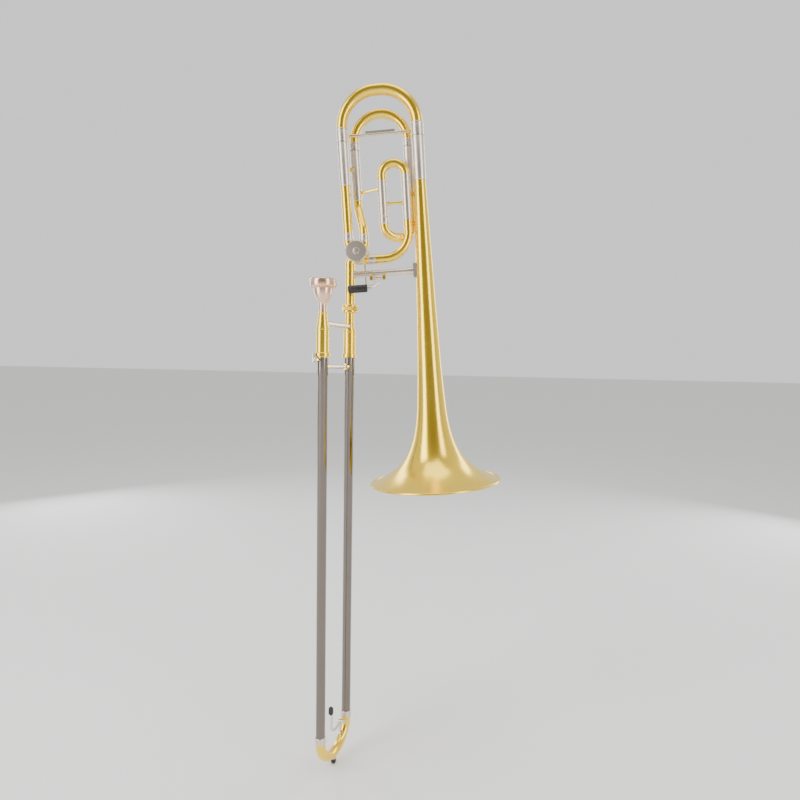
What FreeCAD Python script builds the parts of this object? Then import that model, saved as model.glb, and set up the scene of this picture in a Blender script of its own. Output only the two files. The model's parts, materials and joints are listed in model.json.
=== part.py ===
import FreeCAD, Part
import math
import os

import Sketcher
from FreeCAD import Placement, Rotation, Vector

# Tenor trombone with a rotary F attachment in a closed wrap.
# Origin: the neck joint, on the axis of the slide's lower leg.  +Z up along the slide, +X towards
# the bell, +Y away from the player's mouthpiece leg.  Millimetres.

SIZES = [
    # hand slide and its two legs
    ("slide_spacing", 84.2, "distance between the axes of the two slide legs"),
    ("slide_turn", 18.6, "degrees the mouthpiece leg is turned from the bell's normal"),
    ("inner_tube_r", 6.7, "outside radius of the inner tubes"),
    ("inner_tube_wall", 0.35, "wall of the inner tubes"),
    ("stocking_r", 6.98, "radius of the stockings that run in the outer tubes"),
    ("stocking_length", 108.0, "length of the stockings"),
    ("outer_tube_r", 7.5, "outside radius of the outer tubes"),
    ("slide_fit", 0.07, "radial clearance of a stocking in its outer tube"),
    ("slide_bottom", 700.0, "depth of the lower ends of the outer tubes below the neck joint"),
    ("inner_end_gap", 5.0, "how far the inner tubes stop short of the outer tubes' ends"),
    ("sleeve_r", 8.2, "radius of the thick upper ends of the outer tubes"),
    ("sleeve_length", 58.0, "length of the thick upper ends"),
    ("barrel_drop", 36.0, "depth of the tops of the cork barrels"),
    ("barrel_length", 37.0, "length of the cork barrels above their flanges"),
    ("barrel_r", 10.2, "outside radius of the cork barrels"),
    ("barrel_bore_r", 8.8, "inside radius of the cork barrels"),
    ("barrel_cap", 3.0, "thickness of the barrels' closed upper ends"),
    ("barrel_bead_r", 10.9, "radius of the bead at the top of a barrel"),
    ("flange_length", 6.5, "length of the flange below a barrel"),
    ("flange_r", 12.2, "radius of the flange and of the lock ring"),
    ("cork_length", 10.0, "length of the corks inside the barrels"),
    ("cork_gap", 0.6, "space between a cork and the outer tube at rest"),
    ("collar_r", 9.6, "radius of the collars on top of the barrels"),
    ("collar_length", 3.0, "length of those collars"),
    ("tenon_r", 7.6, "radius of the tube below the neck joint"),
    ("tenon_bore_r", 5.9, "bore of the neck joint"),
    ("tenon_base_r", 6.9, "radius of the tenon's cone at its foot"),
    ("tenon_top_r", 6.4, "radius of the tenon's cone at its top"),
    ("tenon_height", 22.0, "height of the tenon above the neck joint"),
    ("tenon_collar_r", 9.5, "radius of the collar that the lock nut pulls on"),
    ("hand_brace_r", 4.1, "radius of the hand brace"),
    ("hand_brace_drop", 28.7, "depth of the hand brace"),
    ("brace_foot_r", 4.6, "radius of the feet of the slide braces"),
    ("brace_foot_length", 7.0, "length of the feet of the slide braces"),
    ("outer_brace_r", 3.4, "radius of the outer slide's brace"),
    ("outer_brace_drop", 94.5, "depth of the outer slide's brace"),
    ("receiver_top", 12.0, "depth of the top of the mouthpiece receiver"),
    ("receiver_top_r", 7.2, "outside radius of the receiver at its top"),
    ("receiver_base_r", 9.3, "outside radius of the receiver at its foot"),
    ("socket_top_r", 6.1, "radius of the receiver's socket at its top"),
    ("socket_end_r", 5.6, "radius of the receiver's socket at its end"),
    ("shank_depth", 22.0, "how far the mouthpiece shank goes into its socket"),
    ("leadpipe_length", 200.0, "length of the leadpipe"),
    ("leadpipe_throat_r", 5.2, "inside radius of the leadpipe at its top"),
    ("cone_fit", 0.06, "radial clearance of the cone joints"),
    # mouthpiece
    ("rim_top", 38.3, "height of the mouthpiece rim above the neck joint"),
    ("rim_r", 20.0, "outside radius of the mouthpiece rim"),
    ("rim_height", 12.8, "height of the rim's outer band"),
    ("cup_body_r", 14.5, "outside radius of the cup below the rim"),
    ("cup_body_height", 37.0, "height from the neck to the top of the rim"),
    ("cup_r", 12.8, "inside radius of the cup at the rim"),
    ("cup_depth", 26.0, "depth of the cup"),
    ("throat_r", 3.6, "radius of the throat"),
    ("shank_neck_r", 6.4, "radius of the neck above the shank"),
    # crook
    ("crook_r", 7.9, "outside radius of the crook"),
    ("crook_wall", 0.6, "wall of the crook"),
    ("crook_straight", 4.3, "straight length of the crook below the outer tubes"),
    ("crook_ferrule_r", 8.7, "radius of the crook's ferrules"),
    ("crook_ferrule_length", 10.8, "length of the crook's ferrules"),
    ("bumper_socket_r", 4.9, "radius of the bumper socket"),
    ("bumper_r", 4.7, "radius of the rubber bumper"),
    ("bumper_length", 9.5, "length of the rubber bumper below its socket"),
    ("bumper_drop", 11.7, "how far the bumper's tip stands below the crook"),
    # water key
    ("key_pin_u", 21.0, "distance of the water key's pin from the lower leg's axis"),
    ("key_pin_drop", 3.0, "depth of the water key's pin below the outer tubes"),
    ("key_pin_r", 1.0, "radius of the water key's pin"),
    ("key_nipple_angle", 40.0, "degrees round the crook to the nipple"),
    ("key_nipple_r", 3.4, "outside radius of the nipple"),
    ("key_nipple_height", 3.0, "height of the nipple above the crook"),
    ("key_pad_u", 49.0, "distance of the touch pad from the lower leg's axis"),
    ("key_pad_rise", 35.0, "height of the touch pad above the water key's pin"),
    ("key_pad_height", 14.6, "height of the touch pad"),
    ("key_pad_half", 3.9, "half the width of the touch pad"),
    ("key_pad_thick", 3.0, "thickness of the touch pad"),
    ("key_bar_thick", 1.8, "thickness of the water key's lever"),
    ("pin_fit", 0.08, "radial clearance of pins in their tubes"),
    # slide lock
    ("lock_fit", 0.08, "radial clearance of the lock ring on the barrel"),
    ("lock_tab_length", 9.0, "length of the lock's tab below its ring"),
    ("lock_tab_wall", 3.2, "radial thickness of the lock's tab"),
    ("lock_tab_gap", 0.5, "how far the tab's inside stands out from the flange"),
    ("lock_stud_r", 1.5, "radius of the stud on the outer tube"),
    # neck joint and nut
    ("nut_r", 12.4, "outside radius of the bell lock nut"),
    ("nut_half", 6.5, "half the height of the bell lock nut"),
    ("thread_r", 10.5, "radius of the thread on the neck receiver"),
    ("nut_gap", 0.35, "clearance round the thread and the tenon inside the nut"),
    ("receiver_height", 24.0, "height of the neck receiver above the joint"),
    # bell section layout, in a frame tilted about Y
    ("bell_tilt", 4.27, "degrees the bell section leans from the slide"),
    ("main_left_x", 4.9, "x of the main tubing on the neck side"),
    ("main_width", 120.7, "distance between the main tubing and the bell's axis"),
    ("f_plane_y", 18.5, "distance of the F slide behind the main tubing"),
    ("f_left_x", 20.9, "x of the F slide's left leg"),
    ("f_width", 87.2, "distance between the F slide's legs"),
    ("loop_width", 38.5, "distance between the small loop's legs"),
    ("main_tube_r", 7.75, "outside radius of the main tubing"),
    ("tube_wall", 0.55, "wall of the bell section's tubing"),
    ("f_tube_r", 7.2, "outside radius of the F tubing"),
    ("ferrule_wall", 0.65, "how far a ferrule stands out from its tube"),
    ("ferrule_length", 12.2, "length of the small ferrules"),
    ("neck_pipe_r", 7.9, "outside radius of the neckpipe"),
    ("neck_bend_r", 95.0, "radius of the neckpipe's slight bend"),
    # rotary valve
    ("valve_z", 88.9, "height of the valve's axis"),
    ("port_reach", 2.7, "how far the left ports' tubes stand out from the casing's diagonal"),
    ("f_port_reach", 0.5, "the same for the F ports' tubes"),
    ("casing_r", 16.0, "outside radius of the valve casing"),
    ("casing_wall", 0.8, "wall of the valve casing"),
    ("casing_half", 15.0, "half the length of the valve casing"),
    ("cap_r", 17.2, "radius of the valve's front cap"),
    ("cap_depth", 4.5, "depth of the valve's front cap"),
    ("bearing_thick", 2.2, "thickness of the rear bearing plate"),
    ("passage_r", 6.0, "radius of the rotor's passages"),
    ("rotor_fit", 0.06, "radial clearance of the rotor in its casing"),
    ("spindle_r", 3.0, "radius of the rotor's spindles"),
    ("knuckle_r", 8.0, "outside radius of the knuckles"),
    ("f_knuckle_r", 7.6, "outside radius of the knuckles on the F side"),
    ("knuckle_bend_r", 12.0, "bend radius of the knuckles on the main side"),
    ("f_knuckle_bend_r", 10.0, "bend radius of the knuckles on the F side"),
    ("stop_arm_r", 9.8, "radius of the stop arm's pin circle"),
    ("stop_arm_thick", 2.0, "thickness of the stop arm"),
    # main tuning slide
    ("main_sleeve_top", 262.7, "height of the upper ends of the main sleeves"),
    ("main_sleeve_length", 68.0, "length of the main sleeves"),
    ("main_sleeve_step", 1.0, "how far the neck side sleeve stands out from its tube"),
    ("bell_sleeve_r", 10.25, "outside radius of the bell side sleeve"),
    ("main_ferrule_length", 21.3, "length of the tuning slide's ferrules"),
    ("main_bow_r", 8.2, "bow's tube radius on the neck side"),
    ("bell_bow_r", 9.6, "bow's tube radius on the bell side"),
    ("main_bow_bend_r", 56.2, "bend radius of the main bow"),
    ("leg_fit", 0.05, "radial clearance of tuning slide legs"),
    ("main_leg_length", 60.0, "length of the main legs inside their sleeves"),
    # F tuning slide
    ("f_sleeve_top", 254.5, "height of the upper ends of the F sleeves"),
    ("f_sleeve_length", 79.5, "length of the F sleeves"),
    ("f_sleeve_r", 7.95, "outside radius of the F sleeves"),
    ("f_ferrule_length", 12.3, "length of the F bow's ferrules"),
    ("f_leg_length", 68.0, "length of the F legs inside their sleeves"),
    ("f_brace_rise", 10.0, "height of the F slide's brace above the bow's ends"),
    ("f_brace_r", 2.3, "radius of the F slide's brace"),
    ("f_brace_foot_r", 2.9, "radius of the brace's feet"),
    ("f_brace_foot_length", 15.0, "length of the brace's feet"),
    ("f_brace_sink", 1.6, "how deep the brace's axis lies behind the bow's front"),
    ("thumb_plate_length", 48.0, "length of the plate on the brace"),
    ("thumb_plate_rise", 3.4, "how far that plate stands above the rod"),
    # small loop
    ("loop_tube_r", 7.7, "outside radius of the loop's straight tubes"),
    ("loop_left_top", 198.6, "height of the top of the loop's left tube"),
    ("loop_right_top", 206.0, "height of the top of the loop's right tube"),
    ("loop_left_end", 142.6, "height of the lower end of the loop's left tube"),
    ("loop_right_end", 134.5, "height of the lower end of the loop's right tube"),
    ("j_bend_r", 40.0, "bend radius of the J tube"),
    ("low_bow_straight", 7.76, "straight part at the bottom of the lower F bow"),
    # bell
    ("stem_top", 199.5, "height of the bell stem's upper end"),
    ("bell_split", 150.0, "depth of the seam between the stem and the flare"),
    ("bell_rim_z", 292.0, "depth of the bell's rim"),
    ("bell_rim_r", 108.0, "radius of the bell at its rim"),
    ("bell_wall", 0.6, "wall of the bell"),
    ("rim_bead_r", 1.9, "radius of the rolled rim"),
    # bell brace and thumb lever
    ("bell_brace_z", 54.5, "height of the bell brace"),
    ("bell_brace_r", 5.0, "radius of the bell brace"),
    ("bell_brace_socket_r", 6.2, "radius of the socket at the brace's bell end"),
    ("hinge_y", -10.0, "y of the lever's hinge"),
    ("hinge_z", 45.6, "height of the lever's hinge"),
    ("hinge_left_x", 39.6, "x of the left post"),
    ("hinge_right_x", 60.8, "x of the right post"),
    ("post_thick", 4.0, "thickness of the posts"),
    ("hinge_pin_r", 1.5, "radius of the hinge pin"),
    ("hinge_tube_r", 3.2, "radius of the lever's hinge tube"),
    ("grip_arm", 24.0, "distance from the hinge to the thumb grip"),
    ("grip_angle", 43.0, "degrees from straight down to the grip at rest"),
    ("grip_x", 19.0, "x of the middle of the thumb grip"),
    ("grip_length", 31.0, "length of the thumb grip"),
    ("grip_r", 6.2, "radius of the thumb grip"),
    ("crank_arm", 32.0, "distance from the hinge to the crank's pin"),
    ("crank_x", 43.6, "x of the crank"),
    ("crank_pin_r", 1.1, "radius of the crank's pin"),
    ("link_rod_r", 1.3, "radius of the link rod"),
    ("link_eye_gap", 0.55, "clearance of the link rod's lower eye round the crank's pin"),
]

# Radii of the bell: along the stem, by the share of its length below its top, and along the flare,
# by the share of its length below the seam.
STEM_PROFILE = [
    ("bell_r1", 0, 9.55), ("bell_r2", 0.1416, 11.1), ("bell_r3", 0.3056, 13),
    ("bell_r4", 0.4418, 14.7), ("bell_r5", 0.6066, 16.5), ("bell_r6", 0.7179, 18.2),
    ("bell_r7", 0.8298, 19.8), ("bell_r8", 0.9425, 21.9), ("bell_r9", 1, 23.2),
]
FLARE_PROFILE = [
    ("bell_r10", 0.1373, 24.7), ("bell_r11", 0.2782, 27.1), ("bell_r12", 0.419, 31),
    ("bell_r13", 0.5599, 37.3), ("bell_r14", 0.7028, 47.9), ("bell_r15", 0.8451, 67),
    ("bell_r16", 0.9331, 86.5),
]


class Size:
    """A length with the formula, on the sheet's cells, that gives it."""

    def __init__(self, value, text):
        self.value = float(value)
        self.text = text

    def _join(self, other, sign, value, flip=False):
        other = as_size(other)
        first, second = (other, self) if flip else (self, other)
        return Size(value, "(%s %s %s)" % (first.text, sign, second.text))

    def __add__(self, other):
        return self._join(other, "+", self.value + float(other))

    def __radd__(self, other):
        return self._join(other, "+", float(other) + self.value, True)

    def __sub__(self, other):
        return self._join(other, "-", self.value - float(other))

    def __rsub__(self, other):
        return self._join(other, "-", float(other) - self.value, True)

    def __mul__(self, other):
        return self._join(other, "*", self.value * float(other))

    def __rmul__(self, other):
        return self._join(other, "*", float(other) * self.value, True)

    def __truediv__(self, other):
        return self._join(other, "/", self.value / float(other))

    def __neg__(self):
        return Size(-self.value, "(0 - %s)" % self.text)

    def __float__(self):
        return self.value


def as_size(number):
    return number if isinstance(number, Size) else Size(number, "%.6g" % number)


doc = FreeCAD.newDocument("Trombone")
sheet = doc.addObject("Spreadsheet::Sheet", "sizes")
rows = SIZES + [(name, r, "bell radius at %g of the stem or flare" % share)
                for name, share, r in STEM_PROFILE + FLARE_PROFILE]
for row, (name, number, note) in enumerate(rows, start=1):
    sheet.set("A%d" % row, name)
    sheet.set("B%d" % row, "%.6g" % number)
    sheet.set("C%d" % row, note)
    sheet.setAlias("B%d" % row, name)
doc.recompute()


class Named:
    """The sheet's cells by name."""

    def __getattr__(self, name):
        return Size(sheet.get(name), "sizes." + name)


D = Named()
PIECES = []


def bind(item, **values):
    """Set properties from sizes and keep them tied to the sheet."""
    for name, size in values.items():
        setattr(item, name, float(size))
        if isinstance(size, Size):
            item.setExpression(name, size.text)


def piece(item, label, place=None):
    """Name a finished sub-part, place it and keep it for export."""
    item.Label = label
    if place is not None:
        item.Placement = place
    PIECES.append(item)
    return item


def at(x=0.0, y=0.0, z=0.0, turn=None):
    return Placement(Vector(float(x), float(y), float(z)), turn or Rotation())


BELL_FRAME = Placement(Vector(), Rotation(Vector(0, 1, 0), -float(D.bell_tilt)))
SLIDE_FRAME = Placement(Vector(), Rotation(Vector(0, 0, 1), -90.0 - float(D.slide_turn)))
TO_PLUS_X = Rotation(Vector(0, 1, 0), 90)
TO_PLUS_Y = Rotation(Vector(1, 0, 0), -90)
DOWNWARDS = Rotation(Vector(1, 0, 0), 180)
LEAN = math.tan(math.radians(22.5))  # reach of a 45 degree bend for each unit of its radius


def bell(x=0.0, y=0.0, z=0.0, turn=None):
    """A place in the bell section's tilted frame."""
    return BELL_FRAME.multiply(at(x, y, z, turn))


def slide(u=0.0, w=0.0, z=0.0, turn=None):
    """A place in the slide's frame: u from the lower leg to the upper, w across, z up."""
    return SLIDE_FRAME.multiply(at(u, w, z, turn))


# ---- makers -------------------------------------------------------------------------------------

def cylinder(name, radius, height, place=None):
    item = doc.addObject("Part::Cylinder", name)
    bind(item, Radius=radius, Height=height)
    if place is not None:
        item.Placement = place
    return item


def box(name, length, width, height, place=None):
    item = doc.addObject("Part::Box", name)
    bind(item, Length=length, Width=width, Height=height)
    if place is not None:
        item.Placement = place
    return item


def torus(name, ring_r, tube_r, place=None):
    item = doc.addObject("Part::Torus", name)
    bind(item, Radius1=ring_r, Radius2=tube_r)
    if place is not None:
        item.Placement = place
    return item


def cut(name, base, tool):
    item = doc.addObject("Part::Cut", name)
    item.Base, item.Tool = base, tool
    return item


def fuse(name, items):
    item = doc.addObject("Part::MultiFuse", name)
    item.Shapes = items
    return item


def group(name, items):
    """Several separate solids of one kind."""
    item = doc.addObject("Part::Compound", name)
    item.Links = items
    return item


def tube(name, outer_r, inner_r, length, place=None):
    """A straight tube standing on its place."""
    outside = cylinder(name + "_outside", outer_r, length)
    inside = cylinder(name + "_inside", inner_r, length + 2.0, at(z=-1))
    item = cut(name, outside, inside)
    if place is not None:
        item.Placement = place
    return item


def origin_plane(body, role):
    return [item for item in body.Origin.OriginFeatures if item.Role == role][0]


def fix_point(sketch, line, end, x, y):
    """Hold one end of a sketch line at a point given by sizes."""
    for kind, axis, size in (("DistanceX", -2, as_size(x)), ("DistanceY", -1, as_size(y))):
        if abs(size.value) < 1e-9:
            sketch.addConstraint(Sketcher.Constraint("PointOnObject", line, end, axis))
        elif size.value > 0:
            number = sketch.addConstraint(Sketcher.Constraint(kind, -1, 1, line, end, size.value))
            sketch.setExpression("Constraints[%d]" % number, size.text)
        else:
            number = sketch.addConstraint(Sketcher.Constraint(kind, line, end, -1, 1, -size.value))
            sketch.setExpression("Constraints[%d]" % number, (-size).text)


def closed_outline(sketch, points):
    """A closed outline through points given by sizes."""
    spots = [Vector(float(x), float(y), 0) for x, y in points]
    for a, b in zip(spots, spots[1:] + spots[:1]):
        sketch.addGeometry(Part.LineSegment(a, b), False)
    count = len(points)
    for number in range(count):
        sketch.addConstraint(Sketcher.Constraint("Coincident", number, 2, (number + 1) % count, 1))
    for number, (x, y) in enumerate(points):
        fix_point(sketch, number, 1, x, y)


def turned(name, profile, place=None):
    """A turned solid: the outline of (radius, height) points revolved about its own Z axis."""
    body = doc.addObject("PartDesign::Body", name)
    sketch = body.newObject("Sketcher::SketchObject", name + "_outline")
    sketch.AttachmentSupport = [(origin_plane(body, "XZ_Plane"), "")]
    sketch.MapMode = "FlatFace"
    closed_outline(sketch, profile)
    turn = body.newObject("PartDesign::Revolution", name + "_turn")
    turn.Profile = sketch
    turn.ReferenceAxis = (sketch, ["V_Axis"])
    turn.Angle = 360.0
    body.Tip = turn
    if place is not None:
        body.Placement = place
    return body


def plate(name, outline, thickness, place=None):
    """A flat plate: an outline in its own XZ plane, padded to both sides."""
    body = doc.addObject("PartDesign::Body", name)
    sketch = body.newObject("Sketcher::SketchObject", name + "_outline")
    sketch.AttachmentSupport = [(origin_plane(body, "XZ_Plane"), "")]
    sketch.MapMode = "FlatFace"
    closed_outline(sketch, outline)
    pad = body.newObject("PartDesign::Pad", name + "_pad")
    pad.Profile = sketch
    bind(pad, Length=thickness)
    pad.Midplane = True
    body.Tip = pad
    if place is not None:
        body.Placement = place
    return body


def rounded_path(corners, radii):
    """Straight runs joined by tangent arcs: the edges of a route through the corners."""
    spots = [Vector(*(float(v) for v in corner)) for corner in corners]
    edges, here = [], spots[0]
    for corner, after, radius in zip(spots[1:-1], spots[2:], radii):
        into = (corner - here).normalize()
        out = (after - corner).normalize()
        turn = into.getAngle(out)
        reach = float(radius) * math.tan(turn / 2)
        start, end = corner - into * reach, corner + out * reach
        bisector = (out - into).normalize()
        middle = corner + bisector * (float(radius) / math.cos(turn / 2) - float(radius))
        if (start - here).Length > 1e-3:
            edges.append(Part.LineSegment(here, start).toShape())
        edges.append(Part.Arc(start, middle, end).toShape())
        here = end
    if (spots[-1] - here).Length > 1e-3:
        edges.append(Part.LineSegment(here, spots[-1]).toShape())
    return edges


def pipe_solid(edges, first_r, last_r=None):
    """A solid round bar along the edges, tapered if the two radii differ."""
    wire = Part.Wire(edges)
    sweep = Part.BRepOffsetAPI.MakePipeShell(wire)
    first, last = edges[0], edges[-1]
    ends = [(first.Curve.value(first.FirstParameter), first.tangentAt(first.FirstParameter), first_r)]
    if last_r is not None and abs(float(last_r) - float(first_r)) > 1e-9:
        ends.append((last.Curve.value(last.LastParameter), last.tangentAt(last.LastParameter), last_r))
    for spot, along, radius in ends:
        ring = Part.Wire([Part.Circle(spot, along, float(radius)).toShape()])
        sweep.add(ring)
    sweep.build()
    sweep.makeSolid()
    return sweep.shape()


def bent_tube(name, corners, radii, outer_r, inner_r, ends=None):
    """A tube along a rounded route; ends gives the (outer, inner) radii at the far end of a taper."""
    edges = rounded_path(corners, radii)
    far = ends or (None, None)
    item = doc.addObject("Part::Feature", name)
    item.Shape = pipe_solid(edges, outer_r, far[0]).cut(pipe_solid(edges, inner_r, far[1]))
    return item


def strut(name, gap, first_r, last_r, rod_r, foot_r, foot_length, tools=None):
    """A brace along its own X between two upright tubes: a rod with a foot fitted to each tube."""
    rod = cylinder(name + "_rod", rod_r, gap, at(turn=TO_PLUS_X))
    near = cylinder(name + "_near", foot_r, first_r + foot_length, at(turn=TO_PLUS_X))
    far = cylinder(name + "_far", foot_r, last_r + foot_length,
                   at(x=gap - last_r - foot_length, turn=TO_PLUS_X))
    whole = fuse(name + "_whole", [rod, near, far])
    if tools is None:
        reach = 4 * float(foot_r)
        tools = [cylinder(name + "_near_tube", first_r, 2 * reach, at(z=-reach)),
                 cylinder(name + "_far_tube", last_r, 2 * reach, at(x=gap, z=-reach))]
    return cut(name, whole, group(name + "_tubes", tools))


# ---- inner slide --------------------------------------------------------------------------------

upper_u = D.slide_spacing
inner_bore_r = D.inner_tube_r - D.inner_tube_wall
flange_top = D.barrel_drop + D.barrel_length
flange_bottom = flange_top + D.flange_length
inner_length = D.slide_bottom - D.inner_end_gap - D.barrel_drop
outer_bore_r = D.stocking_r + D.slide_fit
spigot_r = D.barrel_bore_r + 0.75


def inner_tube(name, u):
    """An inner tube with the thicker stocking at its lower end, measured up from that end."""
    profile = [(inner_bore_r, 0), (D.stocking_r, 0), (D.stocking_r, D.stocking_length),
               (D.inner_tube_r, D.stocking_length + 2.0), (D.inner_tube_r, inner_length),
               (inner_bore_r, inner_length)]
    place = slide(u=u, z=-(D.slide_bottom - D.inner_end_gap))
    piece(turned(name, profile, place), name)


inner_tube("upper_inner_tube", upper_u)
inner_tube("lower_inner_tube", 0.0)


def barrel_profile(flanged):
    """A cork barrel measured down from its top: flanged, or with a spigot for the lock ring."""
    top = [(D.inner_tube_r, 0), (D.barrel_bead_r, 0), (D.barrel_bead_r, 1.8), (D.barrel_r, 2.6)]
    if flanged:
        low = [(D.barrel_r, D.barrel_length), (D.flange_r, D.barrel_length + 0.8),
               (D.flange_r, D.barrel_length + D.flange_length)]
    else:
        low = [(D.barrel_r, D.barrel_length), (spigot_r, D.barrel_length),
               (spigot_r, D.barrel_length + D.flange_length + 0.4),
               (spigot_r + 0.6, D.barrel_length + D.flange_length + 0.4),
               (spigot_r + 0.6, D.barrel_length + D.flange_length + 1.2)]
    foot = low[-1][1]
    return top + low + [(D.barrel_bore_r, foot), (D.barrel_bore_r, D.barrel_cap),
                        (D.inner_tube_r, D.barrel_cap)]


barrel_z = -D.barrel_drop
piece(turned("upper_barrel", barrel_profile(False), slide(u=upper_u, z=barrel_z, turn=DOWNWARDS)),
      "upper_cork_barrel")
piece(turned("lower_barrel", barrel_profile(True), slide(z=barrel_z, turn=DOWNWARDS)),
      "lower_cork_barrel")

cork_z = -(D.barrel_drop + D.barrel_cap + D.cork_length)
corks = [tube("cork_%d" % n, D.barrel_bore_r, D.inner_tube_r, D.cork_length, slide(u=u, z=cork_z))
         for n, u in enumerate((0.0, upper_u), start=1)]
piece(group("barrel_corks", corks), "barrel_corks")

socket_end = D.receiver_top + D.shank_depth
receiver = [
    (D.socket_end_r, D.barrel_drop - socket_end), (D.socket_top_r, D.barrel_drop - D.receiver_top),
    (D.receiver_top_r, D.barrel_drop - D.receiver_top),
    (D.receiver_top_r, D.barrel_drop - D.receiver_top - 2.2),
    (D.receiver_top_r - 0.3, D.barrel_drop - D.receiver_top - 3.0),
    (D.receiver_base_r, D.collar_length), (D.collar_r, D.collar_length), (D.collar_r, 0),
    (D.leadpipe_throat_r, 0), (D.leadpipe_throat_r, D.barrel_drop - socket_end)]
piece(turned("mouthpiece_receiver", receiver, slide(u=upper_u, z=-D.barrel_drop)),
      "mouthpiece_receiver")
leadpipe = [(D.leadpipe_throat_r, D.leadpipe_length), (inner_bore_r - 0.02, D.leadpipe_length),
            (inner_bore_r - 0.02, 0), (inner_bore_r - 0.3, 0)]
piece(turned("leadpipe", leadpipe, slide(u=upper_u, z=-(D.barrel_drop + D.leadpipe_length))),
      "leadpipe")

tenon = [
    (D.tenon_bore_r, 0), (D.collar_r, 0), (D.collar_r, D.collar_length),
    (D.tenon_r, D.collar_length), (D.tenon_r, D.barrel_drop - 4.9),
    (D.tenon_collar_r, D.barrel_drop - 4.9), (D.tenon_collar_r, D.barrel_drop - 3.2),
    (D.tenon_base_r, D.barrel_drop - 3.2), (D.tenon_top_r, D.barrel_drop + D.tenon_height),
    (D.tenon_bore_r, D.barrel_drop + D.tenon_height)]
piece(turned("slide_tenon", tenon, slide(z=-D.barrel_drop)), "slide_tenon")

# The brace's far foot is fitted to the receiver's taper.
taper_height = D.barrel_drop - D.receiver_top - 3.0 - D.collar_length
receiver_cone = doc.addObject("Part::Cone", "hand_brace_receiver_cone")
bind(receiver_cone, Radius1=D.receiver_base_r, Radius2=D.receiver_top_r - 0.3, Height=taper_height)
receiver_cone.Placement = at(x=upper_u, z=-(D.barrel_drop - D.collar_length - D.hand_brace_drop))
tenon_tool = cylinder("hand_brace_tenon_tool", D.tenon_r, 20.0, at(z=-10))
hand_brace = strut("hand_brace", upper_u, D.tenon_r, D.receiver_top_r, D.hand_brace_r,
                   D.hand_brace_r + 0.1, D.brace_foot_length, tools=[tenon_tool, receiver_cone])
piece(hand_brace, "hand_brace", slide(z=-D.hand_brace_drop))

# ---- mouthpiece ---------------------------------------------------------------------------------

rim = D.rim_top + socket_end
plug_foot = D.socket_end_r - D.cone_fit
plug_top = D.socket_top_r - D.cone_fit
cup_floor = rim - D.cup_depth
mouthpiece = [
    (plug_foot - 0.6, 0.3), (plug_foot, 0.3), (plug_top, D.shank_depth),
    (plug_top + 0.15, D.shank_depth + 6),
    (D.shank_neck_r, D.shank_depth + 8), (D.shank_neck_r, D.shank_depth + 13),
    (D.shank_neck_r, rim - D.cup_body_height), (D.shank_neck_r + 2.2, rim - D.cup_body_height + 3.6),
    (D.cup_body_r - 3.4, rim - D.rim_height - 16), (D.cup_body_r - 1.4, rim - D.rim_height - 10.5),
    (D.cup_body_r - 0.4, rim - D.rim_height - 6), (D.cup_body_r, rim - D.rim_height - 2.2),
    (D.rim_r - 3.6, rim - D.rim_height - 1.2), (D.rim_r - 1.0, rim - D.rim_height),
    (D.rim_r, rim - D.rim_height + 1.6), (D.rim_r, rim - 2.6), (D.rim_r - 0.9, rim - 1.0),
    (D.rim_r - 2.6, rim - 0.2), (D.rim_r - 4.2, rim), (D.cup_r + 1.6, rim - 0.5),
    (D.cup_r + 0.4, rim - 1.6), (D.cup_r, rim - 3.4), (D.cup_r - 0.6, rim - 9),
    (D.cup_r - 2.6, rim - 15), (D.cup_r - 5.6, rim - 20.5), (D.throat_r + 1.6, cup_floor + 1.5),
    (D.throat_r, cup_floor - 2), (D.throat_r, cup_floor - 8)]
piece(turned("mouthpiece", mouthpiece, slide(u=upper_u, z=-socket_end)), "mouthpiece")

# ---- slide lock ---------------------------------------------------------------------------------

lock_bore_r = spigot_r + D.lock_fit
lock_height = D.flange_length - 0.4
lock_ring = turned("lock_ring", [
    (lock_bore_r, 0), (D.flange_r - 0.7, 0), (D.flange_r, 0.8), (D.flange_r, lock_height - 0.8),
    (D.flange_r - 0.7, lock_height), (lock_bore_r, lock_height)])
tab_inner_r = D.flange_r + D.lock_tab_gap
tab_outer_r = tab_inner_r + D.lock_tab_wall
LOCK_TURN, TAB_SPAN, NOTCH_SPAN, LOCK_TRAVEL = -80.0, 60.0, 18.0, 20.0


def ring_sector(name, outer_r, inner_r, height, span, turn, z):
    """Part of a ring, `span` degrees wide from `turn`."""
    outside = cylinder(name + "_outside", outer_r, height)
    outside.Angle = span
    sector = cut(name, outside, cylinder(name + "_inside", inner_r, height + 2.0, at(z=-1)))
    sector.Placement = at(z=z, turn=Rotation(Vector(0, 0, 1), turn))
    return sector


lug = ring_sector("lock_lug", tab_outer_r, lock_bore_r + 0.5, lock_height - 1.0, TAB_SPAN,
                  LOCK_TURN, 0.5)
tab = ring_sector("lock_tab", tab_outer_r, tab_inner_r, D.lock_tab_length + 0.9, TAB_SPAN,
                  LOCK_TURN, -D.lock_tab_length)
notch = ring_sector("lock_notch", tab_outer_r + 1.0, tab_inner_r - 1.0, D.lock_tab_length - 4.0,
                    NOTCH_SPAN, LOCK_TURN + TAB_SPAN - NOTCH_SPAN + 0.5, -(D.lock_tab_length - 2.0))
tab_with_notch = cut("lock_hook", tab, notch)
piece(fuse("slide_lock", [lock_ring, lug, tab_with_notch]), "slide_lock_ring",
      slide(u=upper_u, z=-(flange_bottom - 0.2)))

# ---- hand slide ---------------------------------------------------------------------------------

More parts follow.
